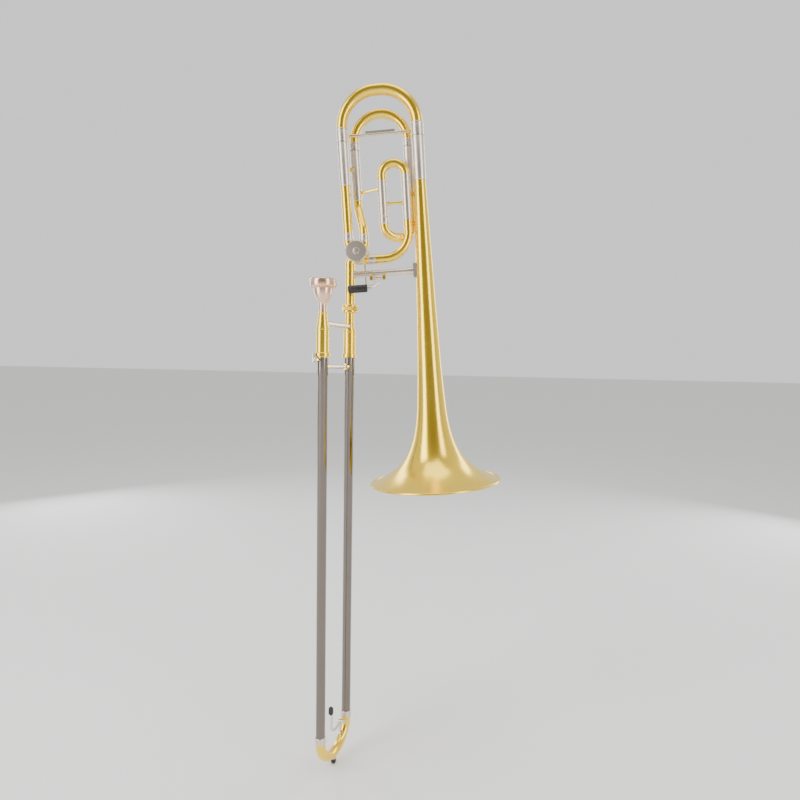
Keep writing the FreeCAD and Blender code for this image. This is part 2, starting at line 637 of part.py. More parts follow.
outer_top = D.barrel_drop + D.barrel_cap + D.cork_length + D.cork_gap
outer_length = D.slide_bottom - outer_top
outer_profile = [
    (outer_bore_r, 0), (D.outer_tube_r, 0), (D.outer_tube_r, outer_length - D.sleeve_length - 1.5),
    (D.sleeve_r, outer_length - D.sleeve_length), (D.sleeve_r, outer_length),
    (outer_bore_r, outer_length)]
lower_outer = turned("lower_outer", outer_profile, slide(z=-D.slide_bottom))
piece(lower_outer, "lower_outer_tube")
upper_outer = turned("upper_outer", outer_profile)
STUD_TURN = LOCK_TURN + TAB_SPAN + LOCK_TRAVEL
stud_z = -(flange_bottom - 0.2) - D.lock_tab_length + 4.2
stud_turn = Rotation(Vector(0, 0, 1), STUD_TURN).multiply(TO_PLUS_X)
stud_reach = Vector(math.cos(math.radians(STUD_TURN)), math.sin(math.radians(STUD_TURN)), 0)
stud = cylinder("lock_stud", D.lock_stud_r, tab_inner_r - D.sleeve_r + 0.4 + D.lock_tab_wall / 2,
                at(*(stud_reach * (float(D.sleeve_r) - 0.4)), turn=stud_turn))
stud.Placement.Base.z = float(stud_z + D.slide_bottom)
piece(fuse("upper_outer_with_stud", [upper_outer, stud]), "upper_outer_tube",
      slide(u=upper_u, z=-D.slide_bottom))

outer_brace = strut("outer_brace", upper_u, D.sleeve_r, D.sleeve_r, D.outer_brace_r,
                    D.brace_foot_r, D.brace_foot_length)
piece(outer_brace, "outer_slide_brace", slide(z=-D.outer_brace_drop))

crook_bend_r = D.slide_spacing / 2
crook_end = D.slide_bottom + D.crook_straight
crook_bottom = crook_end + crook_bend_r
crook_bore_r = D.crook_r - D.crook_wall
crook = bent_tube("crook_tube", [
    (0, 0, 0), (0, 0, -(D.crook_straight + crook_bend_r)),
    (upper_u, 0, -(D.crook_straight + crook_bend_r)), (upper_u, 0, 0)],
    [crook_bend_r, crook_bend_r], D.crook_r, crook_bore_r)
inner_wall_r = crook_bend_r - D.crook_r
nipple_way = Rotation(Vector(0, 1, 0), -(90.0 - float(D.key_nipple_angle)))


def crook_spot(radius, angle):
    """A place in the slide frame on the crook's plane, by radius and angle below the lower leg."""
    turn = math.radians(float(angle))
    return (crook_bend_r - radius * math.cos(turn), -(crook_end + radius * math.sin(turn)))


ferrule_drop = D.slide_bottom + D.crook_straight - D.crook_ferrule_length
ferrule_step = D.slide_bottom - ferrule_drop
crook_ferrule = [
    (D.crook_r, D.crook_ferrule_length), (D.crook_r, ferrule_step), (D.outer_tube_r, ferrule_step),
    (D.outer_tube_r, 0), (D.crook_ferrule_r - 0.5, 0), (D.crook_ferrule_r, 0.6),
    (D.crook_ferrule_r, D.crook_ferrule_length - 0.6),
    (D.crook_ferrule_r - 0.3, D.crook_ferrule_length)]
rings = [turned("crook_ferrule_%d" % n, crook_ferrule, slide(u=u, z=-ferrule_drop, turn=DOWNWARDS))
         for n, u in enumerate((0.0, upper_u), start=1)]
piece(group("crook_ferrules", rings), "crook_ferrules")

# The drain hole of the water key goes through the crook's wall inside the nipple.
nipple_u, nipple_z = crook_spot(inner_wall_r + 1.5, D.key_nipple_angle)
drain_hole = cylinder("drain_hole", D.key_nipple_r - 1.2, 8.0)
hole_place = slide(u=nipple_u, z=nipple_z, turn=nipple_way)
drain_hole.Placement = hole_place.multiply(at(z=-4))
crook.Placement = slide(z=-D.slide_bottom)
piece(cut("slide_crook", crook, drain_hole), "slide_crook")

socket_length = D.crook_r + D.bumper_drop - D.bumper_length
bumper_base = -(crook_bottom + socket_length)
socket_bar = cylinder("bumper_socket_bar", D.bumper_socket_r, socket_length, at(z=bumper_base))
crook_ring = torus("crook_ring", crook_bend_r, D.crook_r,
                   at(z=-crook_end, turn=Rotation(Vector(1, 0, 0), 90)))
piece(cut("bumper_socket", socket_bar, crook_ring), "bumper_socket", slide(u=crook_bend_r))
bumper = [(0, 0), (D.bumper_r, 0), (D.bumper_r, D.bumper_length - 4.4),
          (D.bumper_r - 0.3, D.bumper_length - 2.9), (D.bumper_r - 0.9, D.bumper_length - 1.5),
          (D.bumper_r - 1.8, D.bumper_length - 0.5), (D.bumper_r - 2.6, D.bumper_length),
          (0, D.bumper_length)]
piece(turned("rubber_bumper", bumper, slide(u=crook_bend_r, z=bumper_base, turn=DOWNWARDS)),
      "rubber_bumper")

# ---- water key ----------------------------------------------------------------------------------

# The saddle: two ears from the crook's inner side to the pin, and the nipple that the cork closes.
ear_thick = 1.4
ear_gap = 6.4
ear_root_u, ear_root_z = crook_spot(inner_wall_r + 2.0, 6.0)
ear_low_u, ear_low_z = crook_spot(inner_wall_r + 2.0, 16.0)
pin_u, pin_z = D.key_pin_u, -(D.slide_bottom + D.key_pin_drop)
ears = []
for number, side in enumerate((-1, 1), start=1):
    ear = plate("key_ear_%d" % number, [
        (ear_root_u, ear_root_z), (pin_u, pin_z + 2.2), (pin_u + 2.2, pin_z), (pin_u, pin_z - 2.2),
        (ear_low_u, ear_low_z)], ear_thick, at(y=side * (ear_gap + ear_thick) / 2))
    ears.append(ear)
nipple_tube = tube("key_nipple", D.key_nipple_r, D.key_nipple_r - 1.2, D.key_nipple_height + 1.6)
nipple_foot_u, nipple_foot_z = crook_spot(inner_wall_r + 1.6, D.key_nipple_angle)
nipple_tube.Placement = at(x=nipple_foot_u, z=nipple_foot_z,
                           turn=Rotation(Vector(0, 1, 0), 90.0 - float(D.key_nipple_angle)))
saddle_whole = fuse("key_saddle_whole", ears + [nipple_tube])
pin_hole = cylinder("key_pin_hole", D.key_pin_r, 12.0,
                    at(x=pin_u, y=-6, z=pin_z, turn=TO_PLUS_Y))
crook_trim = torus("key_crook_trim", crook_bend_r, D.crook_r,
                   at(x=crook_bend_r, z=-crook_end, turn=Rotation(Vector(1, 0, 0), 90)))
saddle_holes = group("key_saddle_holes", [pin_hole, crook_trim])
piece(cut("water_key_saddle", saddle_whole, saddle_holes), "water_key_saddle", slide())
ear_outside = ear_gap / 2 + ear_thick
pin = cylinder("water_key_pin", D.key_pin_r, 2 * ear_outside + 0.8)
piece(pin, "water_key_pin", slide(u=pin_u, w=-ear_outside - 0.4, z=pin_z, turn=TO_PLUS_Y))

# The lever: a hinge tube on the pin, a short arm to the plate over the cork and a long arm to the
# touch pad.  The plate lies across the nipple's direction.
CORK_THICK, CORK_LIFT, PLATE_THICK, PLATE_HALF = 2.3, 0.15, 1.6, 3.4
plate_u, plate_z = crook_spot(inner_wall_r - D.key_nipple_height - CORK_LIFT - CORK_THICK,
                              D.key_nipple_angle)
towards = (math.cos(math.radians(float(D.key_nipple_angle))),
           math.sin(math.radians(float(D.key_nipple_angle))))


def plate_spot(along, out):
    """A point of the lever's plate: along it, and out from the cork's back."""
    return (plate_u - towards[1] * along + towards[0] * out,
            plate_z + towards[0] * along + towards[1] * out)


pad_u, pad_z = D.key_pad_u, pin_z + D.key_pad_rise
half = D.key_bar_thick / 2
lever_plate = plate("key_lever_plate", [
    plate_spot(PLATE_HALF, 0), plate_spot(-PLATE_HALF, 0), plate_spot(-PLATE_HALF, PLATE_THICK),
    plate_spot(-0.6, PLATE_THICK + 0.6), (pin_u + 1.6, pin_z - 1.8), (pin_u + 8.0, pin_z - 5.4),
    (pin_u + 16.0, pin_z - 6.4), (pad_u - 3.4, pin_z - 4.4), (pad_u + half, pin_z + 1.0),
    (pad_u + half, pad_z + 4.0), (pad_u - half, pad_z + 4.0), (pad_u - half, pin_z + 1.6),
    (pad_u - 4.2, pin_z - 2.7), (pin_u + 15.8, pin_z - 4.6), (pin_u + 8.6, pin_z - 3.6),
    (pin_u + 1.8, pin_z + 0.6), (pin_u - half, pin_z),
    plate_spot(PLATE_HALF, PLATE_THICK)], 3.2)
hinge_barrel = cylinder("key_hinge_barrel", 2.1, 3.6, at(x=pin_u, y=-1.8, z=pin_z, turn=TO_PLUS_Y))
lever_bar = fuse("key_lever_bar", [lever_plate, hinge_barrel])
key_bore = cylinder("key_bore", D.key_pin_r + D.pin_fit, 12.0,
                    at(x=pin_u, y=-6, z=pin_z, turn=TO_PLUS_Y))
piece(cut("water_key_lever", lever_bar, key_bore), "water_key_lever", slide())
cork_turn = Rotation(Vector(0, 1, 0), 90.0 - float(D.key_nipple_angle))
cork_foot_u, cork_foot_z = crook_spot(inner_wall_r - D.key_nipple_height - CORK_LIFT,
                                      D.key_nipple_angle)
piece(cylinder("water_key_cork", D.key_nipple_r - 0.1, CORK_THICK), "water_key_cork",
      slide(u=cork_foot_u, z=cork_foot_z, turn=cork_turn))
pad_face = box("key_pad_face", D.key_pad_thick, 2 * D.key_pad_half, D.key_pad_height - 2 * D.key_pad_half,
               at(y=-D.key_pad_half, z=-(D.key_pad_height / 2 - D.key_pad_half)))
pad_ends = [cylinder("key_pad_end_%d" % n, D.key_pad_half, D.key_pad_thick,
                     at(z=side * (D.key_pad_height / 2 - D.key_pad_half), turn=TO_PLUS_X))
            for n, side in enumerate((-1, 1), start=1)]
piece(fuse("water_key_pad", [pad_face] + pad_ends), "water_key_touch_pad",
      slide(u=pad_u + half, z=pad_z))

# The spring: a small coil each side of the hinge tube, with a leg along the lever's long arm.
coils = []
for number, side in enumerate((-1, 1), start=1):
    coil = tube("key_coil_%d" % number, 2.1, 1.4, 1.3,
                at(x=pin_u, y=1.8 if side > 0 else -3.1, z=pin_z, turn=TO_PLUS_Y))
    leg = cylinder("key_coil_leg_%d" % number, 0.35, 9.0,
                   at(x=pin_u + 0.4, y=side * 2.3, z=pin_z - 1.5, turn=Rotation(Vector(0, 1, 0), 116)))
    coils.append(fuse("key_spring_%d" % number, [coil, leg]))
piece(group("water_key_spring", coils), "water_key_spring", slide())

# ---- neck joint ---------------------------------------------------------------------------------

cone_slope = (D.tenon_base_r - D.tenon_top_r) / (D.tenon_height + 3.2)


def socket_radius(height):
    """Inside radius of the neck receiver at a height above the joint."""
    return D.tenon_base_r - (height + 3.2) * float(cone_slope) + D.cone_fit


neck_wall_r = D.neck_pipe_r - D.tube_wall
neck_receiver = [
    (socket_radius(-2.8), 0), (D.thread_r, 0), (D.thread_r, D.nut_half + 2.4),
    (neck_wall_r, D.nut_half + 2.4), (neck_wall_r, D.receiver_height + 2.8),
    (socket_radius(D.receiver_height), D.receiver_height + 2.8)]
piece(turned("neck_receiver", neck_receiver, at(z=-2.8)), "neck_receiver")

nut_bore_r = D.thread_r + D.nut_gap
nut_lip_r = D.tenon_r + D.nut_gap
nut_height = 2 * D.nut_half
nut = [
    (nut_lip_r, 0), (D.nut_r - 1.0, 0), (D.nut_r, 1.0), (D.nut_r, 3.2), (D.nut_r - 0.7, 3.9),
    (D.nut_r - 0.7, nut_height - 3.9), (D.nut_r, nut_height - 3.2), (D.nut_r, nut_height - 1.0),
    (D.nut_r - 1.0, nut_height), (nut_bore_r, nut_height), (nut_bore_r, 1.2), (nut_lip_r, 1.2)]
piece(turned("bell_lock_nut", nut, at(z=-D.nut_half)), "bell_lock_nut")

# The neckpipe rises along the slide's axis and bends into the bell section's frame.
tilt = math.radians(float(D.bell_tilt))
neck_corner = BELL_FRAME.multVec(Vector(float(D.main_left_x), 0, float(D.main_left_x) / math.tan(tilt)))
port_offset = D.casing_r * math.sqrt(0.5) + D.port_reach
f_port_offset = D.casing_r * math.sqrt(0.5) + D.f_port_reach
valve_x = D.main_left_x + port_offset
knuckle_rise = port_offset + LEAN * D.knuckle_bend_r
neck_end = D.valve_z - knuckle_rise
neck_start = D.nut_half - 0.4
neckpipe = bent_tube(
    "neckpipe", [(0, 0, neck_start), neck_corner, BELL_FRAME.multVec(
        Vector(float(D.main_left_x), 0, float(neck_end)))],
    [D.neck_bend_r], D.neck_pipe_r, neck_wall_r)
piece(neckpipe, "neckpipe")

# ---- rotary valve -------------------------------------------------------------------------------

casing_bore_r = D.casing_r - D.casing_wall
port_r = D.passage_r
KNUCKLE_WALL = 0.8
valve_place = bell(x=valve_x, z=D.valve_z)
casing_wall = tube("casing_wall", D.casing_r, casing_bore_r, 2 * D.casing_half,
                   at(y=-D.casing_half, turn=TO_PLUS_Y))
port_holes = [cylinder("port_hole_%d" % n, port_r, 2 * D.casing_r,
                       at(turn=Rotation(Vector(0, 1, 0), 45.0 + 90.0 * n))) for n in range(4)]
casing = cut("valve_casing", casing_wall, group("port_holes", port_holes))
piece(casing, "valve_casing", valve_place)


def knuckle(name, radius, offset, bend_r, side_x, side_z, level=False):
    """A curved knuckle from a port at 45 degrees to its tube, upright or level."""
    lean = LEAN * float(bend_r)
    rise = float(offset) + lean
    near = Vector(side_x, 0, side_z)
    if level:
        corner = Vector(side_x * float(offset), 0, side_z * float(offset))
        end = Vector(side_x * rise, 0, side_z * float(offset))
    else:
        corner = Vector(side_x * float(offset), 0, side_z * float(offset))
        end = Vector(side_x * float(offset), 0, side_z * rise)
    start = corner - near.normalize() * (lean + 2.0)
    return bent_tube(name, [start, corner, end], [bend_r], radius, radius - KNUCKLE_WALL)


knuckle_set = group("knuckle_set", [
    knuckle("neck_knuckle", D.knuckle_r, port_offset, D.knuckle_bend_r, -1, -1),
    knuckle("main_knuckle", D.knuckle_r, port_offset, D.knuckle_bend_r, -1, 1),
    knuckle("s_knuckle", D.f_knuckle_r, f_port_offset, D.f_knuckle_bend_r, 1, 1),
    knuckle("j_knuckle", D.f_knuckle_r, f_port_offset, D.f_knuckle_bend_r, 1, -1, level=True)])
casing_block = cylinder("casing_block", D.casing_r, 2 * D.casing_half,
                        at(y=-D.casing_half, turn=TO_PLUS_Y))
piece(cut("valve_knuckles", knuckle_set, casing_block), "valve_knuckles", valve_place)

cap = [(0, 0), (D.casing_r, 0), (D.cap_r, 0.4), (D.cap_r, D.cap_depth - 1.2),
       (D.cap_r - 1.2, D.cap_depth), (5.4, D.cap_depth + 0.4), (4.6, D.cap_depth + 1.6),
       (2.2, D.cap_depth + 2.0), (0, D.cap_depth + 2.0)]
piece(turned("valve_front_cap", cap), "valve_front_cap",
      bell(x=valve_x, y=-D.casing_half, z=D.valve_z, turn=Rotation(Vector(1, 0, 0), 90)))

rear_y = D.casing_half + D.bearing_thick
rear_bearing = turned("rear_bearing", [
    (D.spindle_r + D.pin_fit, 0), (D.casing_r + 0.3, 0), (D.casing_r + 0.3, D.bearing_thick - 0.6),
    (D.casing_r - 0.3, D.bearing_thick), (D.spindle_r + D.pin_fit, D.bearing_thick)])
piece(rear_bearing, "valve_rear_bearing",
      bell(x=valve_x, y=D.casing_half, z=D.valve_z, turn=TO_PLUS_Y))

rotor_r = casing_bore_r - D.rotor_fit
rotor_half = D.casing_half - 0.4
rotor_bar = cylinder("rotor_bar", rotor_r, 2 * rotor_half, at(y=-rotor_half, turn=TO_PLUS_Y))
spindle = cylinder("rotor_spindle", D.spindle_r, D.bearing_thick + 3.2,
                   at(y=rotor_half - 0.2, turn=TO_PLUS_Y))
passage_ring_x = rotor_r * math.sqrt(2)
passages = [torus("passage_%d" % n, rotor_r, D.passage_r,
                  at(x=side * passage_ring_x, turn=Rotation(Vector(1, 0, 0), 90)))
            for n, side in enumerate((-1, 1), start=1)]
rotor = cut("rotor", fuse("rotor_solid", [rotor_bar, spindle]), group("passages", passages))
piece(rotor, "rotor_core", valve_place)

# The stop arm turns behind the rear bearing; its pin drives the link and its tail meets the corks.
arm_y = rear_y + 0.5
arm_turn = Rotation(Vector(0, 1, 0), 45.0)
arm_plate = box("arm_plate", D.stop_arm_r + 8.6, D.stop_arm_thick, 5.0, at(x=-8.6, y=arm_y, z=-2.5))
arm_eye = cylinder("arm_eye", 3.0, D.stop_arm_thick, at(x=D.stop_arm_r, y=arm_y, turn=TO_PLUS_Y))
arm_hub = cylinder("arm_hub", 4.6, D.stop_arm_thick, at(y=arm_y, turn=TO_PLUS_Y))
arm_pin = cylinder("arm_pin", 1.2, 7.2, at(x=D.stop_arm_r, y=arm_y, turn=TO_PLUS_Y))
arm_pin_head = cylinder("arm_pin_head", 2.2, 0.9, at(x=D.stop_arm_r, y=arm_y + 7.0, turn=TO_PLUS_Y))
arm_whole = fuse("arm_whole", [arm_plate, arm_eye, arm_hub, arm_pin, arm_pin_head])
arm_bore = cylinder("arm_bore", D.spindle_r, 12.0, at(y=arm_y - 5.0, turn=TO_PLUS_Y))
piece(cut("stop_arm", arm_whole, arm_bore), "stop_arm",
      valve_place.multiply(Placement(Vector(), arm_turn)))

cork_offset = 8.0
cork_blocks = []
for number, turn in enumerate((45.0, -45.0), start=1):
    side = 1 if number == 1 else -1
    block = box("stop_cork_%d" % number, 4.0, D.stop_arm_thick, 3.0)
    turned_frame = Placement(Vector(), Rotation(Vector(0, 1, 0), turn))
    low = -2.5 - 3.0 - 0.25 if side < 0 else 2.5 + 0.25
    block.Placement = turned_frame.multiply(at(x=-cork_offset, y=rear_y, z=low))
    bind(block, Width=D.stop_arm_thick + 0.4)
    cork_blocks.append(block)
piece(group("stop_corks", cork_blocks), "stop_corks", valve_place)

# ---- tubing of the bell section -----------------------------------------------------------------

main_bore_r = D.main_tube_r - D.tube_wall
f_bore_r = D.f_tube_r - D.tube_wall
bell_x = D.main_left_x + D.main_width
f_right_x = D.f_left_x + D.f_width
loop_left_x = D.f_left_x + D.f_width / 2
loop_right_x = loop_left_x + D.loop_width
sleeve_end = D.main_sleeve_top - D.main_sleeve_length
f_sleeve_end = D.f_sleeve_top - D.f_sleeve_length
main_ferrule_base = D.valve_z + knuckle_rise
s_ferrule_base = D.valve_z + f_port_offset + LEAN * D.f_knuckle_bend_r
j_ferrule_x = valve_x + f_port_offset + LEAN * D.f_knuckle_bend_r
j_z = D.valve_z - f_port_offset
loop_joint_z = D.loop_left_end - D.ferrule_length


def ferrule(name, tube_r, length, place):
    """A sleeve round the end of a tube, where it meets the next one."""
    outer = tube_r + D.ferrule_wall
    profile = [(tube_r, 0), (outer - 0.3, 0), (outer, 0.5), (outer, length - 0.5),
               (outer - 0.3, length), (tube_r, length)]
    return turned(name, profile, place)


ferrules = [
    ferrule("ferrule_main", D.main_tube_r, D.ferrule_length, bell(x=D.main_left_x, z=main_ferrule_base)),
    ferrule("ferrule_s", D.f_tube_r, D.ferrule_length,
            bell(x=valve_x + f_port_offset, z=s_ferrule_base)),
    ferrule("ferrule_j", D.f_tube_r, D.ferrule_length, bell(x=j_ferrule_x, z=j_z, turn=TO_PLUS_X)),
    ferrule("ferrule_loop", D.loop_tube_r, D.ferrule_length,
            bell(x=loop_left_x, z=loop_joint_z))]
piece(group("tube_ferrules", ferrules), "tube_ferrules")

main_tube = tube("main_tube", D.main_tube_r, main_bore_r, sleeve_end + 6.0 - main_ferrule_base)
piece(main_tube, "main_tube", bell(x=D.main_left_x, z=main_ferrule_base))


def end_sleeve(name, outer_r, inner_r, length, foot_r, place):
    """A slide sleeve with a beaded upper end and a foot that closes on the tube below."""
    profile = [(foot_r, 0), (outer_r - 0.4, 0), (outer_r, 0.6), (outer_r, length - 2.2),
               (outer_r + 0.35, length - 1.6), (outer_r + 0.35, length), (inner_r, length),
               (inner_r, 6.4), (foot_r, 6.0)]
    return turned(name, profile, place)


main_sleeve_r = D.main_tube_r + D.main_sleeve_step
main_sleeve_bore_r = main_sleeve_r - D.tube_wall
bell_sleeve_bore_r = D.bell_sleeve_r - D.tube_wall
sleeves = [
    end_sleeve("main_sleeve", main_sleeve_r, main_sleeve_bore_r, D.main_sleeve_length, D.main_tube_r,
               bell(x=D.main_left_x, z=sleeve_end)),
    end_sleeve("bell_sleeve", D.bell_sleeve_r, bell_sleeve_bore_r, D.main_sleeve_length,
               bell_sleeve_bore_r, bell(x=bell_x, z=sleeve_end))]
piece(group("main_slide_sleeves", sleeves), "main_slide_sleeves")
f_sleeve_bore_r = D.f_sleeve_r - D.tube_wall
f_sleeves = [end_sleeve("f_sleeve_%d" % n, D.f_sleeve_r, f_sleeve_bore_r, D.f_sleeve_length,
                        D.f_tube_r, bell(x=x, y=D.f_plane_y, z=f_sleeve_end))
             for n, x in enumerate((D.f_left_x, f_right_x), start=1)]
piece(group("f_slide_sleeves", f_sleeves), "f_slide_sleeves")

# The S tube steps back and across from the valve to the F slide's left sleeve.
s_x = valve_x + f_port_offset
s_low, s_high = s_ferrule_base + 12.0, f_sleeve_end - 4.0
s_tube = bent_tube("s_tube", [
    (s_x, 0, s_ferrule_base), (s_x, 0, s_low + 7.6), (D.f_left_x, D.f_plane_y, s_high - 6.0),
    (D.f_left_x, D.f_plane_y, f_sleeve_end + 5.0)], [26.0, 26.0], D.f_tube_r, f_bore_r)
piece(s_tube, "s_tube", bell())

# The lower bow runs from the F slide's right sleeve down and round to the small loop.
low_bend_r = (math.hypot(float(D.f_width) / 2, float(D.f_plane_y)) - D.low_bow_straight) / 2
u_floor = loop_joint_z - low_bend_r
lower_bow = bent_tube("f_lower_bow", [
    (loop_left_x, 0, loop_joint_z), (loop_left_x, 0, u_floor),
    (f_right_x, D.f_plane_y, u_floor), (f_right_x, D.f_plane_y, f_sleeve_end + 5.0)],
    [low_bend_r, low_bend_r], D.f_tube_r, f_bore_r)
piece(lower_bow, "f_lower_bow", bell())

loop_bore_r = D.loop_tube_r - D.tube_wall
loop_left = tube("loop_left_tube", D.loop_tube_r, loop_bore_r, D.loop_left_top - loop_joint_z)
piece(loop_left, "loop_left_tube", bell(x=loop_left_x, z=loop_joint_z))
loop_right = tube("loop_right_tube", D.loop_tube_r, loop_bore_r, D.loop_right_top - D.loop_right_end)
piece(loop_right, "loop_right_tube", bell(x=loop_right_x, z=D.loop_right_end))
loop_bend_r = D.loop_width / 2
loop_crest = D.loop_right_top + 0.5 + loop_bend_r
loop_bow = bent_tube("loop_bow", [
    (loop_left_x, 0, D.loop_left_top), (loop_left_x, 0, loop_crest),
    (loop_right_x, 0, loop_crest), (loop_right_x, 0, D.loop_right_top)],
    [loop_bend_r, loop_bend_r], D.f_tube_r, f_bore_r)
piece(loop_bow, "loop_bow", bell())
j_tube = bent_tube("j_tube", [
    (loop_right_x, 0, D.loop_right_end), (loop_right_x, 0, j_z), (j_ferrule_x, 0, j_z)],
    [D.j_bend_r], D.f_tube_r, f_bore_r)
piece(j_tube, "j_tube", bell())

# ---- bell ---------------------------------------------------------------------------------------


def bell_radius_points():
    top, seam, rim = float(D.stem_top), -float(D.bell_split), -float(D.bell_rim_z)
    spots = [(float(getattr(D, name)), top + share * (seam - top)) for name, share, _ in STEM_PROFILE]
    spots += [(float(getattr(D, name)), seam + share * (rim - seam))
              for name, share, _ in FLARE_PROFILE]
    return spots + [(float(D.bell_rim_r), rim)]


def bell_solid(top, bottom, filled=False):
    """The bell's wall between two heights, or all it encloses, revolved about its own axis."""
    spots = bell_radius_points()
    outside = Part.BSplineCurve()
    outside.interpolate([Vector(r, 0, z) for r, z in spots])
    start = outside.parameter(outside.intersectCC(
        Part.LineSegment(Vector(0, 0, top), Vector(300, 0, top)))[0].toShape().Point) \
        if top < spots[0][1] else outside.FirstParameter
    end = outside.parameter(outside.intersectCC(
        Part.LineSegment(Vector(0, 0, bottom), Vector(300, 0, bottom)))[0].toShape().Point) \
        if bottom > spots[-1][1] else outside.LastParameter
    count = 28
    outer, inner = [], []
    for step in range(count + 1):
        parameter = start + (end - start) * step / count
        here = outside.value(parameter)
        along = outside.tangent(parameter)[0]
        across = Vector(along.z, 0, -along.x)
        if across.x > 0:
            across = across * -1
        outer.append(here)
        inner.append(here + across * float(D.bell_wall))
    inner[0].z, inner[-1].z = outer[0].z, outer[-1].z
    if filled:
        inner = [Vector(0, 0, outer[0].z), Vector(0, 0, outer[-1].z)]
    curves = []
    for spots in (outer, list(reversed(inner))):
        curve = Part.BSplineCurve()
        curve.interpolate(spots)
        curves.append(curve.toShape())
    edges = [curves[0], Part.LineSegment(outer[-1], inner[-1]).toShape(), curves[1],
             Part.LineSegment(inner[0], outer[0]).toShape()]
    return Part.Face(Part.Wire(edges)).revolve(Vector(), Vector(0, 0, 1), 360)


stem = doc.addObject("Part::Feature", "bell_stem")
stem.Shape = bell_solid(float(D.stem_top), -float(D.bell_split))
piece(stem, "bell_stem", bell(x=bell_x))
flare = doc.addObject("Part::Feature", "bell_flare")
bead = Part.makeTorus(float(D.bell_rim_r) - 0.2 - float(D.rim_bead_r) + 0.2, float(D.rim_bead_r),
                      Vector(0, 0, -float(D.bell_rim_z) + 0.9))
flare.Shape = bell_solid(-float(D.bell_split), -float(D.bell_rim_z)).fuse(bead)
piece(flare, "bell_flare", bell(x=bell_x))

# ---- main tuning slide --------------------------------------------------------------------------

bow_wall = D.tube_wall
ferrule_top = D.main_sleeve_top + D.main_ferrule_length
bow_crest = ferrule_top + D.main_bow_bend_r
bow = bent_tube("main_bow", [
    (D.main_left_x, 0, ferrule_top - 3.0), (D.main_left_x, 0, bow_crest), (bell_x, 0, bow_crest),
    (bell_x, 0, ferrule_top - 3.0)], [D.main_bow_bend_r, D.main_bow_bend_r],
    D.main_bow_r, D.main_bow_r - bow_wall, ends=(D.bell_bow_r, D.bell_bow_r - bow_wall))
piece(bow, "main_bow", bell())
main_leg_r = main_sleeve_bore_r - D.leg_fit
bell_leg_r = bell_sleeve_bore_r - D.leg_fit


def bow_ferrule(name, sleeve_r, leg_r, bow_r, length, place):
    """The ferrule between a tuning slide's leg and its bow, standing clear above the sleeve."""
    base = 0.3
    profile = [(leg_r, base), (sleeve_r, base), (sleeve_r, length - 3.6), (sleeve_r + 0.3, length - 3.0),
               (sleeve_r + 0.3, length - 0.6), (sleeve_r, length), (bow_r, length),
               (bow_r, length - 3.0), (leg_r, length - 3.0)]
    return turned(name, profile, place)


piece(group("main_bow_ferrules", [
    bow_ferrule("main_ferrule_1", main_sleeve_r, main_leg_r, D.main_bow_r + 0.03, D.main_ferrule_length,
                bell(x=D.main_left_x, z=D.main_sleeve_top)),
    bow_ferrule("main_ferrule_2", D.bell_sleeve_r, bell_leg_r, D.bell_bow_r, D.main_ferrule_length,
                bell(x=bell_x, z=D.main_sleeve_top))]), "main_bow_ferrules")


def slide_leg(name, radius, length, place):
    return tube(name, radius, radius - 0.5, length, place)


main_leg_base = D.main_sleeve_top - D.main_leg_length
main_leg_top = ferrule_top - 3.0
piece(group("main_slide_legs", [
    slide_leg("main_leg_1", main_leg_r, main_leg_top - main_leg_base,
              bell(x=D.main_left_x, z=main_leg_base)),
    slide_leg("main_leg_2", bell_leg_r, main_leg_top - main_leg_base,
              bell(x=bell_x, z=main_leg_base))]), "main_slide_legs")

# ---- F tuning slide -----------------------------------------------------------------------------

f_bend_r = D.f_width / 2
f_ferrule_top = D.f_sleeve_top + D.f_ferrule_length
f_crest = f_ferrule_top + f_bend_r
f_bow = bent_tube("f_bow", [
    (D.f_left_x, D.f_plane_y, f_ferrule_top - 3.0), (D.f_left_x, D.f_plane_y, f_crest),
    (f_right_x, D.f_plane_y, f_crest), (f_right_x, D.f_plane_y, f_ferrule_top - 3.0)],
    [f_bend_r, f_bend_r], D.f_tube_r, f_bore_r)
piece(f_bow, "f_bow", bell())
f_leg_r = f_sleeve_bore_r - D.leg_fit
piece(group("f_bow_ferrules", [
    bow_ferrule("f_ferrule_%d" % n, D.f_sleeve_r, f_leg_r, D.f_tube_r, D.f_ferrule_length,
                bell(x=x, y=D.f_plane_y, z=D.f_sleeve_top))
    for n, x in enumerate((D.f_left_x, f_right_x), start=1)]), "f_bow_ferrules")
f_leg_base = D.f_sleeve_top - D.f_leg_length
piece(group("f_slide_legs", [
    slide_leg("f_leg_%d" % n, f_leg_r, f_ferrule_top - 3.0 - f_leg_base,
              bell(x=x, y=D.f_plane_y, z=f_leg_base))
    for n, x in enumerate((D.f_left_x, f_right_x), start=1)]), "f_slide_legs")
# The brace lies across the front of the bow's legs: a rod, a thumb plate on it and a long foot on
# each leg, fitted to the bow.
bow_inset = f_bend_r * (1 - math.sqrt(1 - (float(D.f_brace_rise) / float(f_bend_r)) ** 2))
f_bow_ring = torus("f_bow_ring", f_bend_r, D.f_tube_r,
                   at(x=f_bend_r - bow_inset, y=D.f_tube_r - D.f_brace_sink, z=-D.f_brace_rise,
                      turn=Rotation(Vector(1, 0, 0), 90)))
f_brace_span = D.f_width - 2 * bow_inset
f_rod = cylinder("f_brace_rod", D.f_brace_r, f_brace_span, at(turn=TO_PLUS_X))
f_feet = [cylinder("f_brace_foot_%d" % n, D.f_brace_foot_r, D.f_brace_foot_length,
                   at(x=x - D.f_brace_foot_length / 2, turn=TO_PLUS_X))
          for n, x in enumerate((as_size(0), f_brace_span), start=1)]
thumb_plate = box("f_thumb_plate", D.thumb_plate_length, 2.4, D.f_brace_r + D.thumb_plate_rise,
                  at(x=(f_brace_span - D.thumb_plate_length) / 2, y=-1.2))
